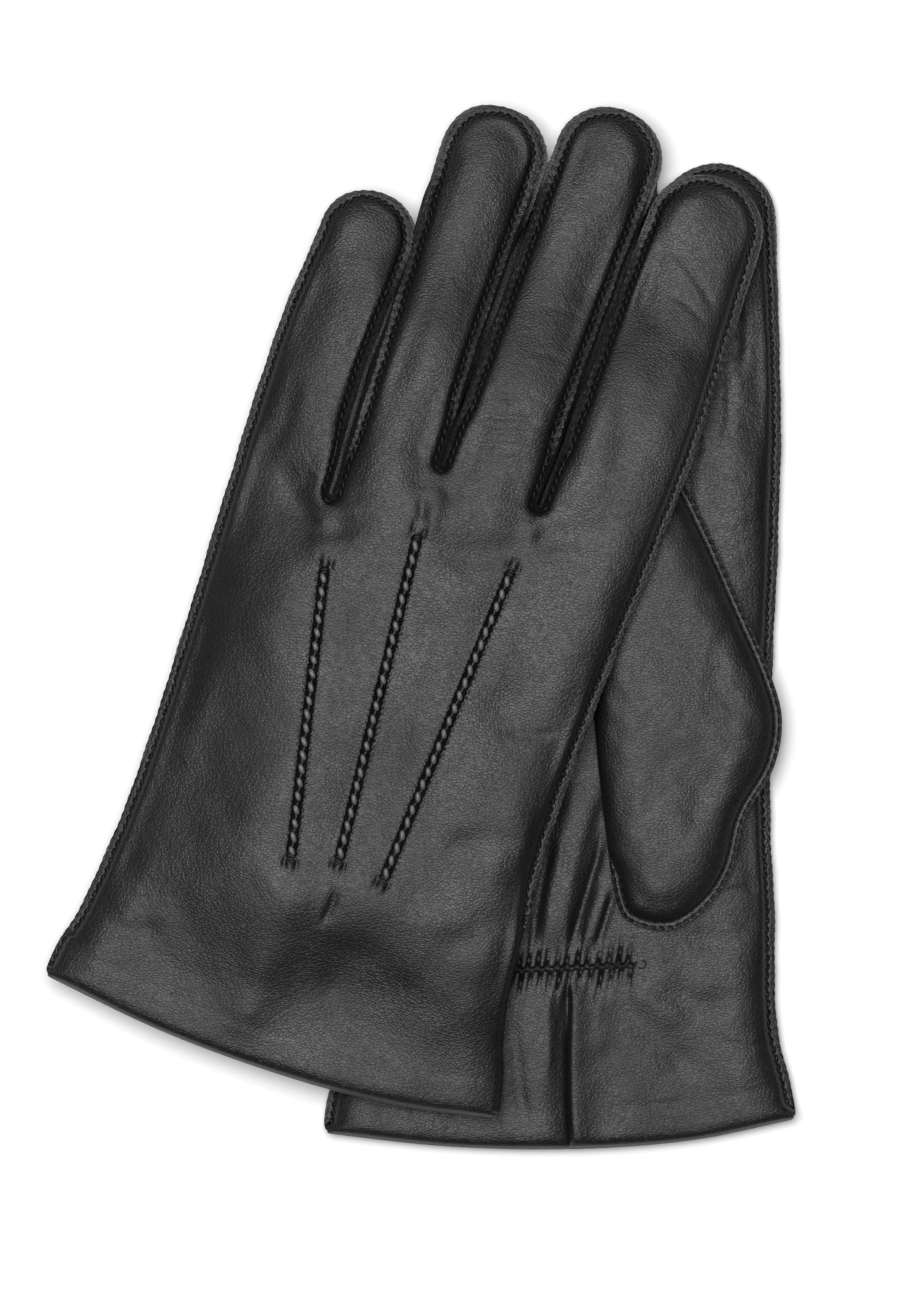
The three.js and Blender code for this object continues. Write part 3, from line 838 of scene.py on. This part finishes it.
def nappa_material(name, turn):
    """Black hairsheep nappa, drum dyed and lightly waxed: a near-black body under a soft satin sheen. Its
    grain is of flat cells, wider across the hand than along it. They are about a millimetre wide, coarser
    than hairsheep's own, so that they show."""
    material, tree = new_material(name)
    stretched = in_millimetres(tree, turn, (1.5, 0.9, 1.2))
    plain = in_millimetres(tree, turn)
    cells = add(
        tree,
        "ShaderNodeTexVoronoi",
        {"feature": "DISTANCE_TO_EDGE", "Scale": 1.4, "Randomness": 1.0},
        Vector=stretched,
    )
    lines = add(
        tree,
        "ShaderNodeMapRange",
        {"From Min": 0.0, "From Max": 0.22, "To Min": 0.0, "To Max": 1.0},
        Value=cells.outputs["Distance"],
    )
    pores = add(tree, "ShaderNodeTexNoise", {"Scale": 2.2, "Detail": 3.0, "Roughness": 0.6}, Vector=stretched)
    broad = add(tree, "ShaderNodeTexNoise", {"Scale": 0.05, "Detail": 2.0, "Roughness": 0.5}, Vector=plain)
    relief = add(
        tree,
        "ShaderNodeMath",
        {"operation": "MULTIPLY_ADD", 1: 0.6},
        in0=lines.outputs["Result"],
        in2=pores.outputs["Fac"],
    )
    tone = add(
        tree,
        "ShaderNodeMix",
        {"data_type": "RGBA", 6: linear("#070708"), 7: linear("#0c0c0d")},
        Factor=broad.outputs["Fac"],
    )
    shine = add(
        tree,
        "ShaderNodeMapRange",
        {"From Min": 0.3, "From Max": 0.7, "To Min": 0.43, "To Max": 0.51},
        Value=broad.outputs["Fac"],
    )
    finish(
        tree,
        relief.outputs["Value"],
        1.0,
        0.07,
        {"IOR": 1.45},
        Base_Color=tone.outputs[2],
        Roughness=shine.outputs["Result"],
    )
    return material


def thread_material(name, colour, roughness):
    """Thread, with the twist of its plies across each stitch. Waxed polyester is dull and nearly black; the
    heavier silk twist of the points is given a mid grey, lighter than the leather, as a painted highlight on
    its beads."""
    material, tree = new_material(name)
    where = in_millimetres(tree, 0.6)
    plies = add(tree, "ShaderNodeTexWave", {"Scale": 0.9, "Distortion": 1.0, "Detail": 1.0}, Vector=where)
    settings = {"Base Color": linear(colour), "Roughness": roughness, "IOR": 1.5}
    finish(tree, plies.outputs["Fac"], 0.5, 0.06, settings)
    return material


def cloth_material(name, colour, pitch, roughness):
    """A knitted or woven cloth: rows of loops about the given pitch apart in millimetres, and no shine."""
    material, tree = new_material(name)
    where = in_millimetres(tree, 0.0, (pitch, pitch, pitch))
    wales = add(tree, "ShaderNodeTexWave", {"Scale": 0.32, "Distortion": 0.6}, Vector=where)
    fuzz = add(tree, "ShaderNodeTexNoise", {"Scale": 2.0, "Detail": 2.0}, Vector=where)
    relief = add(
        tree,
        "ShaderNodeMath",
        {"operation": "MULTIPLY_ADD", 1: 0.5},
        in0=fuzz.outputs["Fac"],
        in2=wales.outputs["Fac"],
    )
    settings = {"Base Color": linear(colour), "Roughness": roughness, "IOR": 1.45}
    finish(tree, relief.outputs["Value"], 0.6, 0.2, settings)
    return material


def paper_material():
    """White seamless paper, matt."""
    material, tree = new_material("white_paper")
    where = in_millimetres(tree, 0.0)
    fibre = add(tree, "ShaderNodeTexNoise", {"Scale": 0.6, "Detail": 2.0}, Vector=where)
    finish(tree, fibre.outputs["Fac"], 0.05, 0.05, {"Base Color": linear("#f4f4f4"), "Roughness": 0.9})
    return material


# ---------------------------------------------------------------- one glove

LIES = {
    "right": Lie("right", math.radians(2.46), 4.5, False),
    "left": Lie("left", math.radians(-16.8), 0.0, True),
}
NAPPA = {side: nappa_material(f"black_nappa_{side}", lie.turn) for side, lie in LIES.items()}
THREAD = thread_material("waxed_polyester_thread", "#070708", 0.7)
# The points' thread is painted mid grey: its colour stands in for the highlights on its beads.
SILK_PAINTED_HIGHLIGHT = thread_material("silk_twist", "#505052", 0.38)
KNIT = cloth_material("knitted_lining", "#2a2a2d", 0.9, 0.95)
WEBBING = cloth_material("woven_elastic", "#1c1c1e", 0.6, 0.8)

EDGE = hand_edge(EDGE_STEP)


def panel_facing(side, panel):
    up = "palm" if side == "right" else "back"
    return 1 if panel == up else -1


def make_panel(side, panel):
    lie = LIES[side]
    facing = panel_facing(side, panel)
    hole = (*THUMB_PIVOT, THUMB_HOLE) if panel == "palm" else None
    lines = []
    if panel == "back":
        step = 0.4 if facing > 0 else 0.55
        lines = [(top, foot, POINT_OFFSETS, step) for top, foot in POINTS.values()]
    if (side, panel) == ("right", "palm"):
        far_end = (ELASTIC_END[0] - ELASTIC[0], ELASTIC_END[1])
        lines = [
            (ELASTIC_END, far_end, GATHER_OFFSETS, 0.3),
            ((0.3, 33), (1.4, -1.5), FOLD_OFFSETS, 0.5),
            ((6.6, 67), (1.9, 48.5), FOLD_OFFSETS, 0.5),
        ]
    pitch, rows = (FINE, FINE_ROWS) if facing > 0 else (COARSE, COARSE_ROWS)
    p, faces = cut(EDGE, pitch, rows, lines, hole)
    h = panel_relief(side, panel, p)
    up = hem_height(p)
    turned_in = LEATHER * (1 - smoothstep(up, HEM_TURN - 0.4, HEM_TURN))
    inner = np.clip(h - LEATHER - turned_in, 0.08, h - 0.4)
    nose = np.where(up < 0.3, FOLD_NOSE, LEATHER_NOSE)
    if facing < 0:
        # The two cut edges never quite match: the lower one shows past the fingertips here and there.
        far, at = EDGE.seam_at(p)
        for i, (finger, (left, right)) in enumerate(zip(FINGERS, PAST_TIPS)):
            u, v = finger["tip"]
            by = smoothstep(p[:, 1], v - 36, v - 6) * (EDGE.owner[at] == i) * (1 - smoothstep(far, 5, 10))
            p[:, 0] += by * (-left + (left + right) * smoothstep(p[:, 0] - u, -5, 5))
            lift = 0.5 * by * (1 - smoothstep(far, 0.5, 3))
            h += lift
            inner += lift
    verts, polygons = shell(lie, p, faces, h, inner, facing, nose)
    node = f"{side}_{panel}_panel"
    piece(f"{side}_{panel}_leather", verts, polygons, NAPPA[side], f"{side}_hand", node, 60)


def seam_run(owner, pitch):
    """Places of the edge that the stitches of one finger's seam stand at, a pitch apart."""
    mine = np.flatnonzero(EDGE.owner == owner)
    start, end = EDGE.run[mine[0]], EDGE.run[mine[-1]]
    runs = np.arange(math.ceil(start / pitch) * pitch, end, pitch)
    return mine[0] + np.searchsorted(EDGE.run[mine], runs)


def stitches(starts, ends, size, sides=6):
    """A stitch of one size, in millimetres, between each start and its end."""
    length, width, thick = size
    lengths = np.full(len(starts), length * MM)
    return grains((starts + ends) / 2, ends - starts, lengths, width * MM, thick * MM, sides)


def bar_tack(lie):
    """Three threads side by side across the little finger's seam, which they end above the hem."""
    at = np.flatnonzero(EDGE.owner == 0)
    at = at[np.abs(EDGE.line[at, 1] - TACK).argmin()]
    across, on = EDGE.out[at], EDGE.line[at]
    start = np.array([on + across * 0.2 + EDGE.along[at] * k for k in (-0.7, 0, 0.7)])
    end = start - across * BAR_STITCH[0]
    up = panel_relief("left", "back", (start + end) / 2) + 0.15
    return stitches(lie.place(start, up), lie.place(end, up), BAR_STITCH)


def make_seam_threads(side):
    lie = LIES[side]
    for i, finger in enumerate(FINGERS):
        at = seam_run(i, STITCH)
        strip = allowance(side, EDGE.line[at], EDGE.owner[at])
        q = EDGE.line[at] - EDGE.out[at] * strip[:, None]
        far, _ = nearest(EDGE.seam, q)
        ok = (far > strip - 0.25) & (strip > 0.9)
        q, at = q[ok], at[ok]
        parts = []
        for panel in ("back", "palm"):
            facing = panel_facing(side, panel)
            reach = EDGE.along[at] * 0.8
            ends = []
            for sign in (-1, 1):
                end = q + sign * reach
                end = end + EDGE.out[at] * 0.14 * sign
                ends.append(lie.place(end, facing * (panel_relief(side, panel, end) - 0.02)))
            parts.append(stitches(*ends, OUTSEAM_STITCH))
        if side == "left" and i == 0:
            parts.append(bar_tack(lie))
        verts, faces = joined(parts)
        name = f"{side}_outseam_stitches_{finger['name']}"
        node = f"{side}_seam_thread_{finger['name']}"
        piece(name, verts, faces, THREAD, f"{side}_hand", node)


def make_points(side):
    """Slanted stitches along each point, with a tack of crossing threads at its foot and its top."""
    lie = LIES[side]
    facing = panel_facing(side, "back")
    long, width, thick = POINT_STITCH
    slant = 0.5
    proud = 0.5 if facing > 0 else -0.1
    for name, (top, foot) in POINTS.items():
        top, foot, length, way, across = straight(top, foot)
        run = np.arange(1.6, length - 0.8, BEAD)
        # Hand work: no two stitches are quite the same in slant, place or length.
        uneven = np.random.default_rng(17).uniform(-1, 1, (3, len(run)))
        h = panel_relief(side, "back", foot + run[:, None] * way)
        ends = []
        for sign in (-1, 1):
            q = foot + run[:, None] * way + sign * (way + (slant + 0.1 * uneven[:1].T) * across)
            q = q + 0.1 * uneven[1][:, None] * across
            ends.append(lie.place(q, facing * (h + proud + sign * 0.05)))
        lengths = (long + 0.25 * uneven[2]) * MM
        beads = grains((ends[0] + ends[1]) / 2, ends[1] - ends[0], lengths, width * MM, thick * MM, 10)
        tacks = [(foot + k * way - 1.15 * across, foot + (k + 0.3) * way + 1.15 * across)
                 for k in (-1.3, -0.6, 0.2, 0.9)]
        tacks += [(top + k * way - 0.9 * across, top + (k - 0.25) * way + 0.9 * across) for k in (-0.7, 0.0)]
        a, b = np.array([t[0] for t in tacks]), np.array([t[1] for t in tacks])
        h = panel_relief(side, "back", (a + b) / 2) + (0.2 if facing > 0 else -0.3)
        a, b = lie.place(a, facing * h), lie.place(b, facing * h)
        knots = grains((a + b) / 2, b - a, np.linalg.norm(b - a, axis=1), 0.6 * MM, 0.55 * MM)
        verts, faces = joined([beads, knots])
        node = f"{side}_point_stitching_{name}"
        # The beads take the mid grey thread, whose colour is a painted highlight; the tacks take the black
        # thread.
        obj = piece(f"{side}_point_{name}", verts, faces, SILK_PAINTED_HIGHLIGHT, f"{side}_hand", node)
        obj.data.materials.append(THREAD)
        for polygon in obj.data.polygons[len(beads[1]) :]:
            polygon.material_index = 1


def gusset_section(top, bulge):
    """The section of a wall at each of its places, as reach into the slit and height: down its face from the
    back's seam over the fold's belly to the palm's seam, and up again inside."""
    edge, inside = np.full(len(top), -0.15), np.full(len(top), -1.9)
    turn = top - np.minimum(0.45, 0.4 * top)
    belly = top - np.minimum(0.5, 0.45 * top)
    steps = np.linspace(-1, 1, 9)[1:-1]
    face = [(-1.5 + (bulge + 1.5) * (1 - abs(a) ** 1.3), a * belly) for a in steps[::-1]]
    within = [(-2.1 + (bulge + 1.5) * (1 - abs(a) ** 2.2), a * 0.8 * top) for a in steps]
    return [
        (edge, top), (edge, turn), *face, (edge, -turn), (edge, -top),
        (inside, -top), *within, (inside, top),
    ]


def make_fourchettes(side):
    """The walls between the fingers: each folds out into the slit between the seams of back and palm."""
    lie = LIES[side]
    for i, finger in enumerate(FINGERS):
        for toward, face in ((1, "thumb_side"), (-1, "outer_side")):
            if not 0 <= i + toward < len(FINGERS):
                continue
            mine = np.flatnonzero((EDGE.owner == i) & (EDGE.slit > 0.001))
            u = finger["tip"][0]
            mine = mine[(EDGE.line[mine, 0] > u) if toward > 0 else (EDGE.line[mine, 0] < u)]
            mine = mine[:: int(FINE / EDGE_STEP)]
            w = EDGE.slit[mine]
            top = np.maximum(EDGE_RISE + (SLIT_RISE - EDGE_RISE) * w - LEATHER - 0.06, 0.05)
            opens = SLIT_OPENS[min(i, i + toward)]
            bulge = opens * w + 0.12 * w * np.sin(EDGE.run[mine] / 3.3)
            rings = np.stack(
                [lie.place(EDGE.line[mine] + EDGE.out[mine] * off[:, None], z)
                 for off, z in gusset_section(top, bulge)],
                axis=1,
            )
            n, k = rings.shape[:2]
            verts = np.vstack([rings.reshape(-1, 3), rings[0].mean(0)[None], rings[-1].mean(0)[None]])
            faces = []
            for a in range(k):
                b = (a + 1) % k
                faces += [(j * k + a, j * k + b, (j + 1) * k + b, (j + 1) * k + a) for j in range(n - 1)]
                faces += [(n * k, b, a), (n * k + 1, (n - 1) * k + a, (n - 1) * k + b)]
            node = f"{side}_fourchette_{finger['name']}_{face}"
            name = f"{side}_gusset_{finger['name']}_{face}"
            piece(name, verts, faces, NAPPA[side], f"{side}_hand", node, 50)


def knit(obj, thickness):
    """Gives a lining the thickness of its cloth."""
    wall = obj.modifiers.new("knit", "SOLIDIFY")
    wall.thickness, wall.offset = thickness * MM, -1


def make_lining(side):
    """A knitted bag inside the leather, open at the hem's turn."""
    lie = LIES[side]
    inset = ALLOWANCE + LEATHER + 0.4
    ring = EDGE.line[::8] - EDGE.out[::8] * inset
    far, _ = nearest(EDGE.whole, ring)
    ring = ring[far > inset - 0.1]
    up = hem_height(ring)
    ring = ring[up > HEM_TURN + 1.0]
    ring = evenly(np.vstack([ring, ring[:1]]), 1.2)[:-1]
    bag = Edge([(ring, 0, np.zeros(len(ring)))])
    p, faces = cut(bag, 2.4, (1.0, 2.2, 3.8))
    far, _ = nearest(bag.whole, p)
    mouth = hem_height(p) < HEM_TURN + 2.5
    full = LINING_FULL + LINING_CUFF * (1 - smoothstep(p[:, 1], 14, 30))
    closed = 0.25 + (full - 0.25) * dome(far / 6.0)
    h = np.where(mouth, full, closed)
    verts = lie.place(np.vstack([p, p]), np.concatenate([h, -h]))
    n = len(p)
    rim = rim_of(faces)
    shut = [(b, a, a + n, b + n) for a, b in rim.tolist() if not (mouth[a] and mouth[b])]
    polygons = [*faces.tolist(), *(faces[:, ::-1] + n).tolist(), *shut]
    node = f"{side}_lining"
    knit(piece(f"{side}_knitted_lining", verts, polygons, KNIT, f"{side}_hand", node, 80), 0.5)


def make_elastic(side):
    """The band inside the wrist, rippled as it is sewn down stretched."""
    lie = LIES[side]
    facing = panel_facing(side, "palm")
    length, width, thick = ELASTIC
    u = np.linspace(ELASTIC_END[0], ELASTIC_END[0] - length, 117)
    v = np.linspace(-width / 2, width / 2, 5) + ELASTIC_END[1]
    grid = np.array([(a, b) for a in u for b in v])
    level = 1.95 + 0.08 * np.cos(math.tau * grid[:, 0] / PLEAT)
    index = np.arange(len(grid)).reshape(len(u), len(v))
    faces = []
    for i in range(len(u) - 1):
        for j in range(len(v) - 1):
            faces.append((index[i, j], index[i, j + 1], index[i + 1, j]))
            faces.append((index[i + 1, j], index[i, j + 1], index[i + 1, j + 1]))
    faces = np.array(faces)
    verts, polygons = shell(lie, grid, faces, level, level - thick, facing, np.zeros(len(grid)))
    node = f"{side}_wrist_elastic"
    piece(f"{side}_elastic_band", verts, polygons, WEBBING, f"{side}_hand", node)


def make_wrist_stitching(side):
    """A zigzag of thread over the gathers, which ends in a small loop towards the thumb."""
    lie = LIES[side]
    facing = panel_facing(side, "palm")
    count = int(2 * ELASTIC[0] / PLEAT)
    u = ELASTIC_END[0] - np.arange(count) * PLEAT / 2
    v = ELASTIC_END[1] + np.where(np.arange(count) % 2, -0.75, 0.75)
    zigzag = evenly(np.column_stack([u, v]), 0.35)
    loop = np.array([(1.2, 0.9), (2.0, 0.9), (2.2, -0.4), (1.4, -0.9), (0.4, -0.5)]) + ELASTIC_END
    loop = through(list(map(tuple, loop)), 0.35)
    parts = []
    for line in (zigzag, loop):
        h = panel_relief(side, "palm", line)
        parts.append(tube(lie.place(line, facing * (h + 0.06)), 0.24 * MM))
    verts, faces = joined(parts)
    node = f"{side}_wrist_stitching"
    piece(f"{side}_gather_thread", verts, faces, THREAD, f"{side}_hand", node)


# ---------------------------------------------------------------- the thumbs


class ThumbLie:
    """Where a folded thumb lies on its palm. Its own points are taken about the middle of the thumb hole."""

    def __init__(self, side, turn):
        hinge = next(j for j in frame["joints"] if j["name"] == side + "_thumb_swing")
        self.pivot = np.array(hinge["pos_m"][:2]) / MM
        self.turn = LIES[side].turn + turn
        low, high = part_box(side + "_thumb")
        self.low, self.high = low.z / MM, high.z / MM
        self.up = side == "right"

    def place(self, p, z):
        """z is measured from the face that lies on the palm."""
        x, y = (p - np.array(THUMB_PIVOT)).T
        c, s = math.cos(self.turn), math.sin(self.turn)
        wx = self.pivot[0] + c * x - s * y
        wy = self.pivot[1] + s * x + c * y
        wz = self.low + z if self.up else self.high - z
        return np.column_stack([wx, wy, wz]) * MM


def thumb_edge():
    ring = through(THUMB_EDGE, EDGE_STEP, closed=True)[::-1]
    area = 0.5 * np.sum(ring[:, 0] * np.roll(ring[:, 1], -1) - ring[:, 1] * np.roll(ring[:, 0], -1))
    if area > 0:
        ring = ring[::-1]
    return Edge([(ring[:-1], 0, np.zeros(len(ring) - 1))])


def thumb_sewn(q):
    """1 where the thumb's edge is a seam and 0 where it is a fold, on the side towards the palm's middle."""
    outer = smoothstep(q[:, 0], 12.5, 16)
    return outer + (1 - outer) * (1 - smoothstep(q[:, 1], 62, 70))


def thumb_relief(p, upper):
    """Height of the thumb's upper or lower face above the palm it lies on."""
    far, at = nearest(THUMB.whole, p)
    sewn = thumb_sewn(THUMB.line[at])
    strip = THUMB_ALLOWANCE * sewn
    body = np.maximum(far - strip, 0)
    if not upper:
        edge = THUMB_SEAM - 0.45
        return edge - (edge - 0.1) * dome(body / 5.0)
    rounding = 0.6 * np.sin(np.clip(body / 10, 0, 1) * math.pi / 2) + 0.4 * dome(body / 4)
    h = THUMB_SEAM + (THUMB_THICK - THUMB_SEAM) * rounding
    beat = stitch_beat(THUMB.run[at], STITCH)
    out = np.clip(1 - far / np.maximum(strip, 0.01), 0, 1)
    h += (0.6 * out**1.5 - 0.35 * out * beat) * (far < strip)
    h -= sewn * (0.9 + 0.35 * beat) * np.exp(-(((far - strip) / 0.5) ** 2))
    loose = 0.16 * swell(p, 71, 24, 1.4) + 0.05 * swell(p, 72, 7)
    mound(loose, p, (24, 112), (9, 26), 0.3)
    mound(loose, p, (34, 84), (7, 10), -0.4)
    mound(loose, p, (27, 78), (5, 6), 0.3)
    crease(loose, p, [(14, 60), (20, 56), (28, 56)], 2.6, 0.3)
    crease(loose, p, [(30, 70), (33, 80), (40, 92)], 3.2, 0.4)
    crease(loose, p, [(46, 98), (40, 108), (38, 124)], 3.0, 0.35)
    return h + smoothstep(body, 0.3, 4) * loose


THUMB = thumb_edge()
THUMB_LIES = {"right": ThumbLie("right", 0.0), "left": ThumbLie("left", 0.3)}


def faced_out(side, faces):
    """The left thumb is laid the other way up, which turns its faces over."""
    return [f[::-1] for f in faces] if side == "left" else faces


def make_thumb_leather(side):
    """Two skins: the upper one runs to the seam, and the lower one is open where the thumb joins the palm."""
    pitch, rows = (FINE, FINE_ROWS) if side == "right" else (COARSE, COARSE_ROWS)
    p, upper_faces = cut(THUMB, pitch, rows)
    outer = thumb_relief(p, True)
    inner = np.minimum(np.maximum(outer - LEATHER, THUMB_SEAM), outer - 0.35)
    nose = np.full(len(p), LEATHER_NOSE)
    upper = shell(THUMB_LIES[side], p, upper_faces, outer, inner, 1, nose)

    pitch = 1.0 if side == "left" else FINE
    p, lower_faces = cut(THUMB, pitch, COARSE_ROWS, hole=(*THUMB_PIVOT, THUMB_HOLE))
    outer = thumb_relief(p, False)
    inner = np.minimum(outer + LEATHER, LOWER_SKIN_TOP)
    nose = np.full(len(p), LEATHER_NOSE)
    lower = shell(THUMB_LIES[side], p, lower_faces, -outer, -inner, -1, nose)

    verts, faces = joined([(v, faced_out(side, f)) for v, f in (upper, lower)])
    node = f"{side}_thumb"
    piece(f"{side}_thumb_leather", verts, faces, NAPPA[side], f"{side}_thumb", node, 60)


def make_thumb_stitches(side):
    lie = THUMB_LIES[side]
    at = np.flatnonzero(np.diff(np.floor(THUMB.run / STITCH)) > 0)
    at = at[thumb_sewn(THUMB.line[at]) > 0.9]
    q = THUMB.line[at] - THUMB.out[at] * THUMB_ALLOWANCE
    ends = []
    for sign in (-1, 1):
        end = q + sign * THUMB.along[at] * 0.8 + THUMB.out[at] * 0.25 * sign
        ends.append(lie.place(end, thumb_relief(end, True) - 0.05))
    verts, faces = stitches(*ends, THUMB_STITCH)
    node = f"{side}_thumb_seam_thread"
    piece(f"{side}_thumb_stitches", verts, faces, THREAD, f"{side}_thumb", node)


def make_thumb_lining(side):
    lie = THUMB_LIES[side]
    inset = 3.2
    ring = THUMB.line[::8] - THUMB.out[::8] * inset
    far, _ = nearest(THUMB.whole, ring)
    ring = evenly(ring[far > inset - 0.1], 1.2)
    bag = Edge([(ring, 0, np.zeros(len(ring)))])
    p, upper_faces = cut(bag, 2.2, (1.0, 2.4))
    q, lower_faces = cut(bag, 2.2, (1.0, 2.4), hole=(*THUMB_PIVOT, THUMB_HOLE - 0.8))
    upper_z = 3.9 + 2.6 * dome(nearest(bag.whole, p)[0] / 7.0)
    lower_z = 3.6 - 2.3 * dome(nearest(bag.whole, q)[0] / 5.0)
    verts, faces = joined([
        (lie.place(p, upper_z), faced_out(side, upper_faces.tolist())),
        (lie.place(q, lower_z), faced_out(side, lower_faces[:, ::-1].tolist())),
    ])
    node = f"{side}_thumb_lining"
    knit(piece(f"{side}_thumb_knit", verts, faces, KNIT, f"{side}_thumb", node, 80), 0.4)


for side in ("right", "left"):
    for panel in ("back", "palm"):
        make_panel(side, panel)
    make_seam_threads(side)
    make_points(side)
    make_fourchettes(side)
    make_lining(side)
    make_elastic(side)
    make_wrist_stitching(side)
    make_thumb_leather(side)
    make_thumb_stitches(side)
    make_thumb_lining(side)

# ---------------------------------------------------------------- the studio

CENTRE = Vector((7.1 * MM, -5.25 * MM, 0.012))  # what the camera and the softbox point at
CAMERA_HEIGHT = 1.6
LENS = 177
PAPER = 1.6  # half the side of the paper
SOFTBOX_PLACE = (-0.12, 0.14, 1.75)
SOFTBOX_SIZE = (0.8, 0.8)
SOFTBOX_WATTS = 36.5


def make_stage():
    mesh = bpy.data.meshes.new("paper")
    corners = [(PAPER * x, PAPER * y, 0) for x, y in ((-1, -1), (1, -1), (1, 1), (-1, 1))]
    mesh.from_pydata(corners, [], [(0, 1, 2, 3)])
    mesh.materials.append(paper_material())
    paper = bpy.data.objects.new("paper", mesh)
    bpy.context.scene.collection.objects.link(paper)


def make_light(name, place, size, power):
    light = bpy.data.lights.new(name, "AREA")
    light.shape = "RECTANGLE"
    light.size, light.size_y = size
    light.energy = power
    obj = bpy.data.objects.new(name, light)
    obj.location = place
    obj.rotation_euler = (CENTRE - Vector(place)).to_track_quat("-Z", "Y").to_euler()
    bpy.context.scene.collection.objects.link(obj)


def make_dome(strength, gather, floor, towards):
    """A soft studio dome: brightest in the given direction, falling off towards the walls."""
    world = bpy.data.worlds.new("studio")
    world.use_nodes = True
    tree = world.node_tree
    coords = add(tree, "ShaderNodeTexCoord")
    aim = tuple(Vector(towards).normalized())
    way = coords.outputs["Generated"]
    facing = add(tree, "ShaderNodeVectorMath", {"operation": "DOT_PRODUCT", 1: aim}, in0=way)
    up = add(tree, "ShaderNodeMath", {"operation": "MAXIMUM", 1: 0.0}, in0=facing.outputs["Value"])
    fall = add(tree, "ShaderNodeMath", {"operation": "POWER", 1: gather}, in0=up.outputs["Value"])
    settings = {"operation": "MULTIPLY_ADD", 1: strength, 2: floor}
    level = add(tree, "ShaderNodeMath", settings, in0=fall.outputs["Value"])
    background = tree.nodes["Background"]
    background.inputs["Color"].default_value = (1, 1, 1, 1)
    tree.links.new(level.outputs["Value"], background.inputs["Strength"])
    bpy.context.scene.world = world


def make_camera():
    """Looks straight down on the pair from far enough off to flatten it."""
    camera = bpy.data.cameras.new("camera")
    camera.lens = LENS
    camera.sensor_width = 36
    camera.clip_start = 0.05
    obj = bpy.data.objects.new("camera", camera)
    obj.location = CENTRE + Vector((0, 0, CAMERA_HEIGHT))
    bpy.context.scene.collection.objects.link(obj)
    bpy.context.scene.camera = obj


make_stage()
make_dome(strength=0.37, gather=6.0, floor=0.001, towards=(-0.2, 0.12, 1))
make_light("overhead_softbox", SOFTBOX_PLACE, SOFTBOX_SIZE, SOFTBOX_WATTS)
make_camera()
bpy.context.scene.view_settings.view_transform = "Standard"
